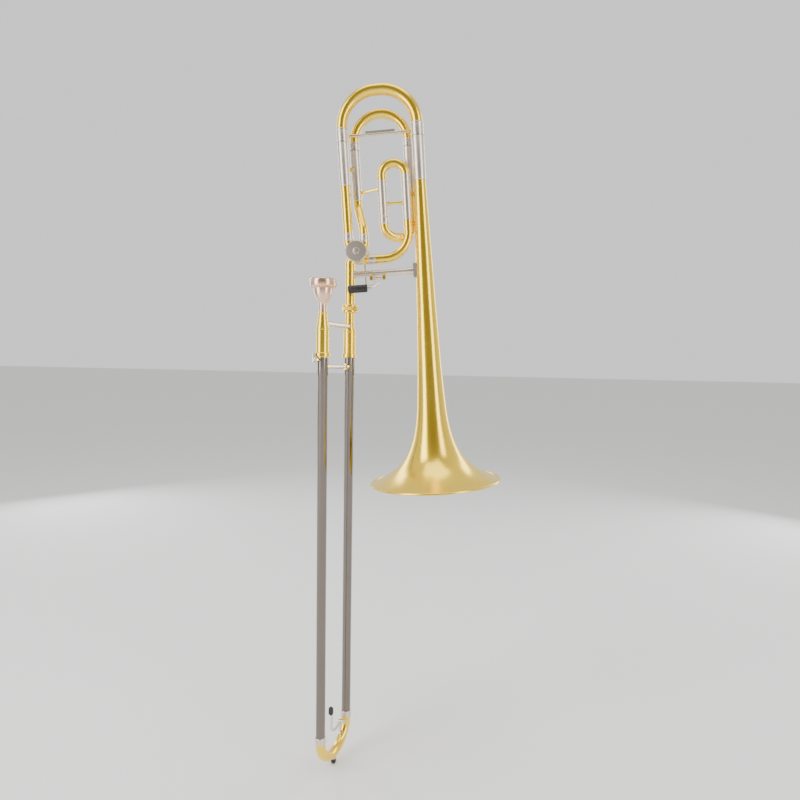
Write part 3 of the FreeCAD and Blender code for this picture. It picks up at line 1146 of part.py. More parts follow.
f_brace = cut("f_brace", fuse("f_brace_whole", [f_rod, thumb_plate] + f_feet), f_bow_ring)
piece(f_brace, "f_slide_brace",
      bell(x=D.f_left_x + bow_inset, y=D.f_plane_y - D.f_tube_r + D.f_brace_sink,
           z=f_ferrule_top + D.f_brace_rise))

# ---- ties between the tubes ---------------------------------------------------------------------


def tie(name, first, last, z, to_bell=False):
    """A small brass tie between two upright tubes, each given as (x, y, radius)."""
    dx, dy = float(last[0] - first[0]), float(as_size(last[1]) - first[1])
    gap = math.hypot(dx, dy)
    tools = None
    if to_bell:
        core = doc.addObject("Part::Feature", name + "_bell_tool")
        core.Shape = bell_solid(z + 20.0, z - 20.0, filled=True)
        core.Placement = at(x=gap, z=-z)
        tools = [cylinder(name + "_tube_tool", first[2], 40.0, at(z=-20)), core]
    item = strut(name, gap, first[2], last[2], 2.2, 3.4, 2.2, tools=tools)
    item.Placement = at(first[0], first[1], z, Rotation(Vector(0, 0, 1), math.degrees(math.atan2(dy, dx))))
    return item


def bell_radius(z):
    """Outside radius of the bell at a height, between the listed radii."""
    spots = bell_radius_points()
    for (r1, z1), (r2, z2) in zip(spots, spots[1:]):
        if z1 >= z >= z2:
            return r1 + (r2 - r1) * (z1 - z) / (z1 - z2)
    return spots[0][0]


ties = [
    tie("tie_1", (D.main_left_x, 0, main_sleeve_r), (D.f_left_x, D.f_plane_y, D.f_sleeve_r), 224.0),
    tie("tie_2", (D.f_left_x, D.f_plane_y, D.f_sleeve_r), (loop_left_x, 0, D.loop_tube_r), 187.5),
    tie("tie_3", (loop_left_x, 0, D.loop_tube_r), (loop_right_x, 0, D.loop_tube_r), 163.5),
    tie("tie_4", (f_right_x, D.f_plane_y, D.f_sleeve_r), (bell_x, 0, bell_radius(179.0)), 179.0, True),
    tie("tie_5", (f_right_x, D.f_plane_y, D.f_tube_r), (bell_x, 0, bell_radius(133.0)), 133.0, True)]
piece(group("tie_braces", ties), "tie_braces", bell())

# ---- bell brace and thumb lever -----------------------------------------------------------------

neck_at_brace = D.bell_brace_z * math.tan(tilt)
brace_gap = bell_x - neck_at_brace
bell_at_brace = bell_radius(float(D.bell_brace_z))
brace_rod = cylinder("brace_rod", D.bell_brace_r, brace_gap, at(turn=TO_PLUS_X))
brace_socket = cylinder("brace_socket", D.bell_brace_socket_r, 26.0,
                        at(x=brace_gap - 26.0, turn=TO_PLUS_X))
brace_near_foot = cylinder("brace_near_foot", D.bell_brace_r + 1.0, D.neck_pipe_r + 3.0, at(turn=TO_PLUS_X))
saddle_pad = box("brace_saddle", 6.0, 17.0, 22.0, at(x=brace_gap - bell_at_brace - 3.4, y=-8.5, z=-11.0))
brace_whole = fuse("brace_whole", [brace_rod, brace_socket, brace_near_foot, saddle_pad])
upright = Placement(Vector(), Rotation(Vector(0, 1, 0), float(D.bell_tilt)))
neck_tool = cylinder("brace_neck_tool", D.neck_pipe_r, 60.0, upright.multiply(at(z=-30)))
stem_core = doc.addObject("Part::Feature", "brace_stem_tool")
stem_core.Shape = bell_solid(float(D.bell_brace_z) + 30, float(D.bell_brace_z) - 30, filled=True)
stem_core.Placement = at(x=brace_gap, z=-D.bell_brace_z)
brace = cut("bell_brace", brace_whole, group("brace_tools", [neck_tool, stem_core]))
piece(brace, "bell_brace", bell(x=neck_at_brace, z=D.bell_brace_z))

posts = []
for number, x in enumerate((D.hinge_left_x, D.hinge_right_x), start=1):
    post_plate = plate("post_plate_%d" % number, [
        (-3.4, -3.4), (3.4, -3.4), (3.4, 3.0), (3.4 - D.hinge_y, D.bell_brace_z - D.hinge_z),
        (-4.0 - D.hinge_y, D.bell_brace_z - D.hinge_z), (-3.4, 3.0)], D.post_thick,
        at(turn=Rotation(Vector(0, 0, 1), 90)))
    drill = cylinder("post_drill_%d" % number, D.hinge_pin_r, 12.0, at(x=-6, turn=TO_PLUS_X))
    brace_bar = cylinder("post_brace_%d" % number, D.bell_brace_r, 12.0,
                         at(x=-6, y=-D.hinge_y, z=D.bell_brace_z - D.hinge_z, turn=TO_PLUS_X))
    item = cut("lever_post_%d" % number, post_plate, group("post_tools_%d" % number, [drill, brace_bar]))
    item.Placement = bell(x=x, y=D.hinge_y, z=D.hinge_z)
    posts.append(item)
piece(group("lever_posts", posts), "lever_posts")
pin_start = D.hinge_left_x - D.post_thick / 2 - 0.6
pin_length = D.hinge_right_x - D.hinge_left_x + D.post_thick + 1.2
piece(cylinder("lever_hinge_pin", D.hinge_pin_r, pin_length), "lever_hinge_pin",
      bell(x=pin_start, y=D.hinge_y, z=D.hinge_z, turn=TO_PLUS_X))

# The lever, in its own frame at the hinge: a tube on the pin, an arm to the thumb grip and a
# dog-leg crank that passes under the brace to a pin for the link rod.
tube_start = D.hinge_left_x + D.post_thick / 2 + 0.4
tube_length = D.hinge_right_x - D.hinge_left_x - D.post_thick - 0.8
lever_tube = cylinder("lever_tube", D.hinge_tube_r, tube_length, at(x=tube_start, turn=TO_PLUS_X))
arm_turn_angle = math.radians(float(D.grip_angle))
grip_y = -D.grip_arm * math.sin(arm_turn_angle)
grip_z = -D.grip_arm * math.cos(arm_turn_angle)
arm_root_x = tube_start + tube_length - 5.0
grip_end_x = D.grip_x + D.grip_length / 2
arm_edges = rounded_path([
    (arm_root_x, 0, 0), (arm_root_x, grip_y * 0.55, grip_z * 0.55),
    (grip_end_x + 7.0, grip_y, grip_z), (grip_end_x + 0.5, grip_y, grip_z)], [4.0, 5.0])
arm_bar = doc.addObject("Part::Feature", "lever_arm")
arm_bar.Shape = pipe_solid(arm_edges, 2.1)
axle_end = D.grip_x - D.grip_length / 2 + 1.0
axle = cylinder("grip_axle", 1.6, grip_end_x - axle_end + 0.5,
                at(x=axle_end, y=grip_y, z=grip_z, turn=TO_PLUS_X))
axle_collar = cylinder("grip_collar", 4.4, 3.0,
                       at(x=grip_end_x + 0.5, y=grip_y, z=grip_z, turn=TO_PLUS_X))
crank_turn = math.radians(12.5)
crank_y = D.crank_arm * math.cos(crank_turn)
crank_z = -D.crank_arm * math.sin(crank_turn)
crank_web = plate("crank_web", [
    (-2.4, -2.0), (2.0, -4.4), (8.0, -8.6), (18.0, -11.4), (crank_y + 2.4, crank_z - 2.2),
    (crank_y + 2.6, crank_z + 1.8), (crank_y - 2.0, crank_z + 2.4), (18.0, -6.8), (9.0, -3.6),
    (2.6, 2.0), (-2.4, 2.0)], 2.4, at(x=D.crank_x, turn=Rotation(Vector(0, 0, 1), 90)))
crank_pin_end = valve_x + D.stop_arm_r * 0.5
crank_pin = cylinder("crank_pin", D.crank_pin_r, D.crank_x - crank_pin_end,
                     at(x=crank_pin_end, y=crank_y, z=crank_z, turn=TO_PLUS_X))
crank_head = cylinder("crank_head", 2.2, 0.9, at(x=crank_pin_end - 0.9, y=crank_y, z=crank_z,
                                                 turn=TO_PLUS_X))
lever_whole = fuse("lever_whole", [lever_tube, arm_bar, axle, axle_collar, crank_web, crank_pin,
                                   crank_head])
lever_bore = cylinder("lever_bore", D.hinge_pin_r + D.pin_fit, 40.0,
                      at(x=D.hinge_left_x - 8.0, turn=TO_PLUS_X))
piece(cut("thumb_lever", lever_whole, lever_bore), "thumb_lever", bell(y=D.hinge_y, z=D.hinge_z))
grip = turned("thumb_grip", [
    (1.6, 0), (D.grip_r - 1.2, 0), (D.grip_r - 0.3, 0.6), (D.grip_r, 1.8),
    (D.grip_r, D.grip_length - 1.8), (D.grip_r - 0.3, D.grip_length - 0.6),
    (D.grip_r - 1.2, D.grip_length), (1.6, D.grip_length)])
piece(grip, "thumb_grip",
      bell(x=D.grip_x - D.grip_length / 2, y=D.hinge_y + grip_y, z=D.hinge_z + grip_z,
           turn=TO_PLUS_X))

# The link rod hangs from the stop arm's pin; its lower eye has room round the crank's pin.
rod_turn = math.radians(45.0)
rod_x = valve_x + D.stop_arm_r * math.cos(rod_turn)
rod_top = D.valve_z - D.stop_arm_r * math.sin(rod_turn)
rod_y = D.hinge_y + D.crank_arm * (1 + math.cos(crank_turn)) / 2
rod_low = D.hinge_z + crank_z
eye_r = D.crank_pin_r + D.link_eye_gap
eye_thick = 2 * D.link_rod_r + 0.4
upper_eye = cylinder("link_upper_eye", 2.8, eye_thick, at(y=-eye_thick / 2, turn=TO_PLUS_Y))
rod_length = rod_top - rod_low
rod_bar = cylinder("link_bar", D.link_rod_r, rod_length - eye_r - 2.6, at(z=-(rod_length - eye_r - 0.6)))
lower_eye = cylinder("link_lower_eye", eye_r + 1.3, eye_thick,
                     at(x=-eye_thick / 2, z=-rod_length, turn=TO_PLUS_X))
link_whole = fuse("link_whole", [upper_eye, rod_bar, lower_eye])
upper_bore = cylinder("link_upper_bore", 1.2 + D.pin_fit, 8.0, at(y=-4, turn=TO_PLUS_Y))
lower_bore = cylinder("link_lower_bore", eye_r, 8.0, at(x=-4, z=-rod_length, turn=TO_PLUS_X))
piece(cut("link_rod", link_whole, group("link_bores", [upper_bore, lower_bore])), "link_rod",
      bell(x=rod_x, y=rod_y, z=rod_top))

# ---- checks and export --------------------------------------------------------------------------

doc.recompute()
for item in doc.Objects:
    if "Invalid" in item.State or "Error" in item.State:
        raise RuntimeError("%s did not build: %s" % (item.Name, item.State))
os.makedirs("parts", exist_ok=True)
for item in PIECES:
    shape = item.Shape
    if shape.isNull() or not shape.isValid() or not shape.Solids:
        raise RuntimeError("%s has no valid solid" % item.Label)
for item in PIECES:
    item.Shape.exportStep("parts/%s.step" % item.Label)
    print("%-22s %2d solid(s) %10.1f mm3" % (item.Label, len(item.Shape.Solids), item.Shape.Volume))
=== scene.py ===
import json
import math

import bmesh
import bpy
from bpy.props import FloatProperty, FloatVectorProperty, IntProperty, PointerProperty
from mathutils import Matrix, Quaternion, Vector


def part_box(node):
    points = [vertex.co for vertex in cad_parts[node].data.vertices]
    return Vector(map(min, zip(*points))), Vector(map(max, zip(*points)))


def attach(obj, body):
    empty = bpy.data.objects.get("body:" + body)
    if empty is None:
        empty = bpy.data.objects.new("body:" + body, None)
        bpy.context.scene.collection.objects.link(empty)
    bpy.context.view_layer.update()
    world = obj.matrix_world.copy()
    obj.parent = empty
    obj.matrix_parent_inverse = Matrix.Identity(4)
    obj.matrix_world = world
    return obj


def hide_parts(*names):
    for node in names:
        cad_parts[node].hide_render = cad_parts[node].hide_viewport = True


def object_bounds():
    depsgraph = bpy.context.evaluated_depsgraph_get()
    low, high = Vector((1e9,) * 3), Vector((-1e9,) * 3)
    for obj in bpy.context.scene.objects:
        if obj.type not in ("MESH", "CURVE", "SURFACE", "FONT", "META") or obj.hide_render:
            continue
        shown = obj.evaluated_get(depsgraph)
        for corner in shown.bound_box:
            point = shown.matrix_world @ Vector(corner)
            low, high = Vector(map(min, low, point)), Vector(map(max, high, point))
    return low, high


bl_info = {
    "name": "Tenor Trombone Finishes",
    "version": (1, 0, 0),
    "blender": (4, 5, 0),
    "location": "View3D > Sidebar > Trombone",
    "description": "Finished surfaces and fine parts for a tenor trombone with an F attachment",
    "category": "Object",
}

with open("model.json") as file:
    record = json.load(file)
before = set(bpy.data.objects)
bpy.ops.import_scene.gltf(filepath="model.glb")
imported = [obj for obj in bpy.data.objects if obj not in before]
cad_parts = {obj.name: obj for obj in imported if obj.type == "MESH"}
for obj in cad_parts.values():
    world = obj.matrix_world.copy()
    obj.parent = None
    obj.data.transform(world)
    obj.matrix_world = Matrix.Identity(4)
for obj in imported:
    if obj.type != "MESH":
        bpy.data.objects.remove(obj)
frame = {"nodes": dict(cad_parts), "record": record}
CAD_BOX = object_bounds()
RECORD = frame["record"]
JOINTS = {joint["name"]: joint for joint in RECORD["behaviour"]["joints"]}
BODY_OF = {node: body for body, nodes in RECORD["behaviour"]["bodies"].items() for node in nodes}
MOUNTS = {mount["name"]: mount for mount in RECORD["mounts"]}
BELL_UP = Vector(JOINTS["main_tuning_travel"]["axis"]).normalized()
BELL_MOUTH = Vector(MOUNTS["stand_cone"]["pos_m"])
SHARP_ANGLE = math.radians(32)
JOIN_DISTANCE = 2e-6        # frame points closer than this are one point
LOCK_RING_RADIUS = 0.0125   # only the lock's lug and tab lie further out
OUTER_TUBE_RADIUS = 0.0087  # the lock's stud lies further out than this
BRACE_FOOT = 0.0155         # the outer brace is brass this near a tube's axis
F_BRACE_FOOT = 0.0062       # the F slide's brace is brass this near its ends
COIL_RADIUS = 0.0021        # outside radius of the water key's spring coils
COIL_WIDTH = 0.0013         # width of one coil
COIL_GAP = 0.0018           # from the lever's middle to a coil's near side
COIL_LEG = 0.0075           # length of a coil's straight leg
COIL_FALL = math.radians(26)  # how far the leg slopes down
HEAD_HEIGHT = 0.0012        # height of a screw head


# ---- settings ------------------------------------------------------------------------------------

def colour(name, text, value):
    return FloatVectorProperty(name=name, description=text, default=value, size=3, min=0, max=1,
                               subtype="COLOR")


def length(name, text, value):
    return FloatProperty(name=name, description=text, default=value, min=0, unit="LENGTH",
                         precision=5)


class TrombonePaint(bpy.types.PropertyGroup):
    """Colours of the metals, the rubber and the cork"""
    brass: colour("Lacquered brass", "Yellow brass under clear lacquer", (1.0, 0.70, 0.07))
    brass_deep: colour("Deep brass", "Brass where the lacquer is thick", (0.92, 0.57, 0.04))
    nickel: colour("Nickel silver", "Polished nickel silver", (0.74, 0.66, 0.57))
    nickel_deep: colour("Handled nickel", "Nickel silver that hands have dulled",
                        (0.56, 0.48, 0.39))
    chrome: colour("Tube plating", "Plating of the slide tubes", (0.19, 0.165, 0.145))
    silver: colour("Silver plate", "Plating of the mouthpiece", (0.84, 0.56, 0.40))
    rubber: colour("Rubber", "Black rubber", (0.012, 0.012, 0.014))
    cork: colour("Cork", "Pressed cork", (0.50, 0.32, 0.17))
    steel: colour("Steel", "Spring wire and pins", (0.46, 0.44, 0.42))
    floor: colour("Floor", "Studio floor", (0.90, 0.90, 0.89))


class TromboneSizes(bpy.types.PropertyGroup):
    """Sizes of the fine parts"""
    bell_segments: IntProperty(name="Bell segments", description="Steps round the bell",
                               default=192, min=24, max=720)
    nut_ribs: IntProperty(name="Nut ribs", description="Ribs of the knurl on the lock nut",
                          default=56, min=8, max=200)
    rib_radius: length("Rib radius", "Radius of one rib of the knurl", 0.00042)
    # The seam rings' dark metal is painted shade of the groove at each soldered joint.
    seam_wire: length("Seam", "Radius of the ring that marks a soldered seam", 0.00025)
    wire: length("Spring wire", "Diameter of the water key's spring wire", 0.00042)
    coil_turns: FloatProperty(name="Coil turns", description="Turns of each spring coil",
                              default=2.0, min=1, max=8)
    screw_radius: length("Screw head", "Radius of the small screw heads", 0.0021)


def paint():
    return bpy.context.scene.trombone_paint


def sizes():
    return bpy.context.scene.trombone_sizes


# ---- shader node groups --------------------------------------------------------------------------

class Wiring:
    """Adds nodes to a tree from left to right and joins them."""

    def __init__(self, tree):
        self.tree, self.count = tree, 0

    def add(self, kind, inputs=(), **settings):
        node = self.tree.nodes.new(kind)
        self.count += 1
        node.location = (self.count * 190, 0)
        for name, value in settings.items():
            setattr(node, name, value)
        for key, value in dict(inputs).items():
            if isinstance(value, bpy.types.NodeSocket):
                self.tree.links.new(value, node.inputs[key])
            else:
                node.inputs[key].default_value = value
        return node

    def blend(self, factor, first, second):
        """Mix two colours."""
        node = self.add("ShaderNodeMix", data_type="RGBA")
        for index, value in ((0, factor), (6, first), (7, second)):
            if isinstance(value, bpy.types.NodeSocket):
                self.tree.links.new(value, node.inputs[index])
            else:
                node.inputs[index].default_value = value
        return node.outputs[2]


def shader_group(name, inputs, outputs):
    """A new shader node group with its sockets, and its two end nodes."""
    tree = bpy.data.node_groups.new(name, "ShaderNodeTree")
    for text, kind, value in inputs:
        socket = tree.interface.new_socket(name=text, in_out="INPUT", socket_type=kind)
        if value is not None:
            socket.default_value = value
    for text, kind in outputs:
        tree.interface.new_socket(name=text, in_out="OUTPUT", socket_type=kind)
    wiring = Wiring(tree)
    return tree, wiring, wiring.add("NodeGroupInput")


def handling_group():
    """Where hands and air have dulled a polished metal: soft smears and a few small spots."""
    tree, wiring, start = shader_group(
        "Handling marks",
        [("Vector", "NodeSocketVector", None), ("Smear scale", "NodeSocketFloat", 22.0),
         ("Spot scale", "NodeSocketFloat", 260.0), ("Amount", "NodeSocketFloat", 0.5)],
        [("Smear", "NodeSocketFloat"), ("Spots", "NodeSocketFloat")])
    smear = wiring.add("ShaderNodeTexNoise", {"Vector": start.outputs["Vector"],
                                              "Scale": start.outputs["Smear scale"],
                                              "Detail": 5.0, "Roughness": 0.62, "Distortion": 0.4})
    smear_range = wiring.add("ShaderNodeMapRange", {"Value": smear.outputs["Fac"],
                                                    "From Min": 0.42, "From Max": 0.72})
    smear_out = wiring.add("ShaderNodeMath", {0: smear_range.outputs[0],
                                              1: start.outputs["Amount"]}, operation="MULTIPLY")
    spots = wiring.add("ShaderNodeTexVoronoi", {"Vector": start.outputs["Vector"],
                                                "Scale": start.outputs["Spot scale"]})
    spot_range = wiring.add("ShaderNodeMapRange", {"Value": spots.outputs["Distance"],
                                                   "From Min": 0.16, "From Max": 0.05})
    spot_field = wiring.add("ShaderNodeTexNoise", {"Vector": start.outputs["Vector"],
                                                   "Scale": 14.0, "Detail": 2.0})
    spot_keep = wiring.add("ShaderNodeMapRange", {"Value": spot_field.outputs["Fac"],
                                                  "From Min": 0.55, "From Max": 0.68})
    spot_out = wiring.add("ShaderNodeMath", {0: spot_range.outputs[0], 1: spot_keep.outputs[0]},
                          operation="MULTIPLY")
    spot_end = wiring.add("ShaderNodeMath", {0: spot_out.outputs[0], 1: start.outputs["Amount"]},
                          operation="MULTIPLY")
    wiring.add("NodeGroupOutput", {"Smear": smear_out.outputs[0], "Spots": spot_end.outputs[0]})
    return tree


def polish_group():
    """Fine lines left by the buffing wheel, drawn out along one direction, and their height."""
    tree, wiring, start = shader_group(
        "Polishing lines",
        [("Vector", "NodeSocketVector", None), ("Stretch", "NodeSocketVector", (900, 900, 12)),
         ("Ripple scale", "NodeSocketFloat", 60.0)],
        [("Lines", "NodeSocketFloat"), ("Height", "NodeSocketFloat")])
    drawn = wiring.add("ShaderNodeVectorMath", {0: start.outputs["Vector"],
                                                1: start.outputs["Stretch"]}, operation="MULTIPLY")
    lines = wiring.add("ShaderNodeTexNoise", {"Vector": drawn.outputs[0], "Scale": 1.0,
                                              "Detail": 3.0, "Roughness": 0.7})
    ripple = wiring.add("ShaderNodeTexNoise", {"Vector": start.outputs["Vector"],
                                               "Scale": start.outputs["Ripple scale"],
                                               "Detail": 1.0})
    height = wiring.add("ShaderNodeMath", {0: lines.outputs["Fac"], 1: 0.25,
                                           2: ripple.outputs["Fac"]}, operation="MULTIPLY_ADD")
    wiring.add("NodeGroupOutput", {"Lines": lines.outputs["Fac"], "Height": height.outputs[0]})
    return tree


def grain_group():
    """Small close grain with a few larger flecks, for rubber and cork."""
    tree, wiring, start = shader_group(
        "Grain",
        [("Vector", "NodeSocketVector", None), ("Scale", "NodeSocketFloat", 900.0),
         ("Fleck scale", "NodeSocketFloat", 420.0)],
        [("Grain", "NodeSocketFloat"), ("Flecks", "NodeSocketFloat")])
    grain = wiring.add("ShaderNodeTexNoise", {"Vector": start.outputs["Vector"],
                                              "Scale": start.outputs["Scale"], "Detail": 4.0})
    flecks = wiring.add("ShaderNodeTexVoronoi", {"Vector": start.outputs["Vector"],
                                                 "Scale": start.outputs["Fleck scale"]})
    fleck_range = wiring.add("ShaderNodeMapRange", {"Value": flecks.outputs["Distance"],
                                                    "From Min": 0.35, "From Max": 0.15})
    wiring.add("NodeGroupOutput", {"Grain": grain.outputs["Fac"],
                                   "Flecks": fleck_range.outputs[0]})
    return tree


def metal(name, plain, deep, spot, shine, dull, stretch, marks, coat, bump):
    """A polished metal: its colour, its handled colour, spots, roughness range, lines and coat."""
    material = bpy.data.materials.new(name)
    material.use_nodes = True
    tree = material.node_tree
    tree.nodes.clear()
    wiring = Wiring(tree)
    place = wiring.add("ShaderNodeTexCoord")
    handled = wiring.add("ShaderNodeGroup", node_tree=bpy.data.node_groups["Handling marks"])
    handled.inputs["Smear scale"].default_value = marks[0]
    handled.inputs["Spot scale"].default_value = marks[1]
    handled.inputs["Amount"].default_value = marks[2]
    lines = wiring.add("ShaderNodeGroup", node_tree=bpy.data.node_groups["Polishing lines"])
    lines.inputs["Stretch"].default_value = stretch
    lines.inputs["Ripple scale"].default_value = marks[0] * 2.2
    for group in (handled, lines):
        tree.links.new(place.outputs["Object"], group.inputs["Vector"])
    toned = wiring.blend(handled.outputs["Smear"], (*plain, 1), (*deep, 1))
    spotted = wiring.blend(handled.outputs["Spots"], toned, (*spot, 1))
    rough = wiring.add("ShaderNodeMapRange", {"Value": handled.outputs["Smear"],
                                              "To Min": shine, "To Max": dull})
    lined = wiring.add("ShaderNodeMath", {0: lines.outputs["Lines"], 1: 0.06,
                                          2: rough.outputs[0]}, operation="MULTIPLY_ADD")
    relief = wiring.add("ShaderNodeBump", {"Strength": bump, "Distance": 0.0004,
                                           "Height": lines.outputs["Height"]})
    shader = wiring.add("ShaderNodeBsdfPrincipled", {
        "Base Color": spotted, "Roughness": lined.outputs[0], "Normal": relief.outputs[0],
        "Metallic": 1.0, "Coat Weight": coat, "Coat Roughness": 0.06})
    wiring.add("ShaderNodeOutputMaterial", {"Surface": shader.outputs[0]})
    return material


def soft_solid(name, plain, fleck, scale, fleck_scale, dull, bump):
    """Rubber or cork: grained, flecked and dull."""
    material = bpy.data.materials.new(name)
    material.use_nodes = True
    tree = material.node_tree
    tree.nodes.clear()
    wiring = Wiring(tree)
    place = wiring.add("ShaderNodeTexCoord")
    grain = wiring.add("ShaderNodeGroup", node_tree=bpy.data.node_groups["Grain"])
    grain.inputs["Scale"].default_value = scale
    grain.inputs["Fleck scale"].default_value = fleck_scale
    tree.links.new(place.outputs["Object"], grain.inputs["Vector"])
    flecked = wiring.blend(grain.outputs["Flecks"], (*plain, 1), (*fleck, 1))
    rough = wiring.add("ShaderNodeMapRange", {"Value": grain.outputs["Grain"],
                                              "To Min": dull - 0.12, "To Max": dull + 0.12})
    relief = wiring.add("ShaderNodeBump", {"Strength": bump, "Distance": 0.0004,
                                           "Height": grain.outputs["Grain"]})
    shader = wiring.add("ShaderNodeBsdfPrincipled", {
        "Base Color": flecked, "Roughness": rough.outputs[0], "Normal": relief.outputs[0]})
    wiring.add("ShaderNodeOutputMaterial", {"Surface": shader.outputs[0]})
    return material


def finish(name):
    return bpy.data.materials[name]


SLOT_FINISH = {
    "lacquered_brass": "Lacquered brass", "nickel_silver": "Nickel silver",
    "chrome_tube": "Plated slide tube", "silver_plate": "Silver plate",
    "black_rubber": "Black rubber", "cork": "Cork", "spring_steel": "Spring steel"}
SLOT_OF = {part["node"]: part["material_slot"] for part in RECORD["subparts"]}


# ---- pieces from the frame -----------------------------------------------------------------------

def merged(node):
    """The frame node's faces on shared points, as a bmesh."""
    shape = bmesh.new()
    shape.from_mesh(frame["nodes"][node].data)
    bmesh.ops.remove_doubles(shape, verts=shape.verts, dist=JOIN_DISTANCE)
    return shape


def mesh_from(shape, name):
    """A clean mesh from a bmesh: smooth, with its real corners kept sharp."""
    shape.normal_update()
    shape.verts.index_update()
    sharp = {tuple(sorted(v.index for v in edge.verts)) for edge in shape.edges
             if len(edge.link_faces) != 2 or edge.calc_face_angle(0.0) > SHARP_ANGLE}
    mesh = bpy.data.meshes.new(name)
    mesh.from_pydata([v.co[:] for v in shape.verts], [],
                     [[v.index for v in face.verts] for face in shape.faces])
    mesh.shade_smooth()
    for edge in mesh.edges:
        edge.use_edge_sharp = tuple(sorted(edge.vertices)) in sharp
    return mesh


def add_piece(name, mesh, body, slot, *nodes):
    """Put a finished mesh in the scene, on its body and in place of its frame nodes."""
    piece = bpy.data.objects.new(name, mesh)
    bpy.context.scene.collection.objects.link(piece)
    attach(piece, body)
    if nodes:
        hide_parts(*nodes)
    return piece


def dress(node, second=None, where=None):
    """A smooth copy of a frame node in its own finish; faces that `where` picks get a second."""
    shape = merged(node)
    mesh = mesh_from(shape, node + "_finished")
    shape.free()
    mesh.materials.append(finish(SLOT_FINISH[SLOT_OF[node]]))
    if second:
        mesh.materials.append(finish(second))
        for face in mesh.polygons:
            face.material_index = 1 if where(face.center) else 0
    return add_piece(node + "_finished", mesh, BODY_OF[node], SLOT_OF[node], node)


def keep(*nodes):
    """Frame nodes that stay as they are, in their finish."""
    for node in nodes:
        data = frame["nodes"][node].data
        data.materials.clear()
        data.materials.append(finish(SLOT_FINISH[SLOT_OF[node]]))


def off_axis(place, start, along):
    """Distance of a place from a line."""
    reach = Vector(place) - start
    return (reach - along * reach.dot(along)).length


# ---- geometry node trees -------------------------------------------------------------------------

def geometry_tree(name, inputs):
    """A new geometry node tree with its sockets, and its first node."""
    tree = bpy.data.node_groups.new(name, "GeometryNodeTree")
    tree.interface.new_socket(name="Geometry", in_out="INPUT", socket_type="NodeSocketGeometry")
    for text, kind in inputs:
        tree.interface.new_socket(name=text, in_out="INPUT", socket_type=kind)
    tree.interface.new_socket(name="Geometry", in_out="OUTPUT", socket_type="NodeSocketGeometry")
    wiring = Wiring(tree)
    return tree, wiring, wiring.add("NodeGroupInput")


def close_tree(wiring, geometry, start):
    """Every tree ends in real geometry with its material."""
    real = wiring.add("GeometryNodeRealizeInstances", {"Geometry": geometry})
    coated = wiring.add("GeometryNodeSetMaterial", {"Geometry": real.outputs[0],
                                                    "Material": start.outputs["Material"]})
    wiring.add("NodeGroupOutput", {"Geometry": coated.outputs[0]})


def grow(tree, name, body, slot, values, nodes=(), base=None):
    """Run a tree with its values and keep the result as a plain mesh on a body."""
    holder = bpy.data.objects.new(name + "_holder", base or bpy.data.meshes.new(name + "_seed"))
    bpy.context.scene.collection.objects.link(holder)
    modifier = holder.modifiers.new("Tree", "NODES")
    modifier.node_group = tree
    keys = {item.name: item.identifier for item in tree.interface.items_tree
            if item.item_type == "SOCKET" and item.in_out == "INPUT"}
    for text, value in values.items():
        modifier[keys[text]] = value
    bpy.context.view_layer.update()
    graph = bpy.context.evaluated_depsgraph_get()
    mesh = bpy.data.meshes.new_from_object(holder.evaluated_get(graph))
    mesh.name = name
    bpy.data.objects.remove(holder)
    if not mesh.polygons:
        raise RuntimeError("the tree for %s made no faces" % name)
    return add_piece(name, mesh, body, slot, *nodes)


def section_mesh(node, foot, along):
    """Half of a turned frame node's section through its axis, as a row of points: x is the
    distance from the axis and z the height above the foot."""
    shape = merged(node)
    across = along.orthogonal().normalized()
    found = bmesh.ops.bisect_plane(shape, geom=shape.verts[:] + shape.edges[:] + shape.faces[:],
                                   plane_co=foot, plane_no=across, dist=1e-7)
    side = along.cross(across)
    edges = [item for item in found["geom_cut"] if isinstance(item, bmesh.types.BMEdge)
             and min((v.co - foot).dot(side) for v in item.verts) > 0]
    reach = {}
    for edge in edges:
        for vert in edge.verts:
            reach.setdefault(vert, []).append(edge.other_vert(vert))
    first = min(reach, key=lambda v: (v.co - foot).dot(along))
    row, last, here = [first], first, reach[first][0]
    while here is not first:
        row.append(here)
        last, here = here, [v for v in reach[here] if v is not last][0]
    spots = [((v.co - foot).dot(side), 0.0, (v.co - foot).dot(along)) for v in row]
    area = sum(a[0] * b[2] - b[0] * a[2] for a, b in zip(spots, spots[1:] + spots[:1]))
    if area < 0:
        spots.reverse()
    spots.append(spots[0])
    shape.free()
    mesh = bpy.data.meshes.new(node + "_section")
    mesh.from_pydata(spots, [], [])
    return mesh


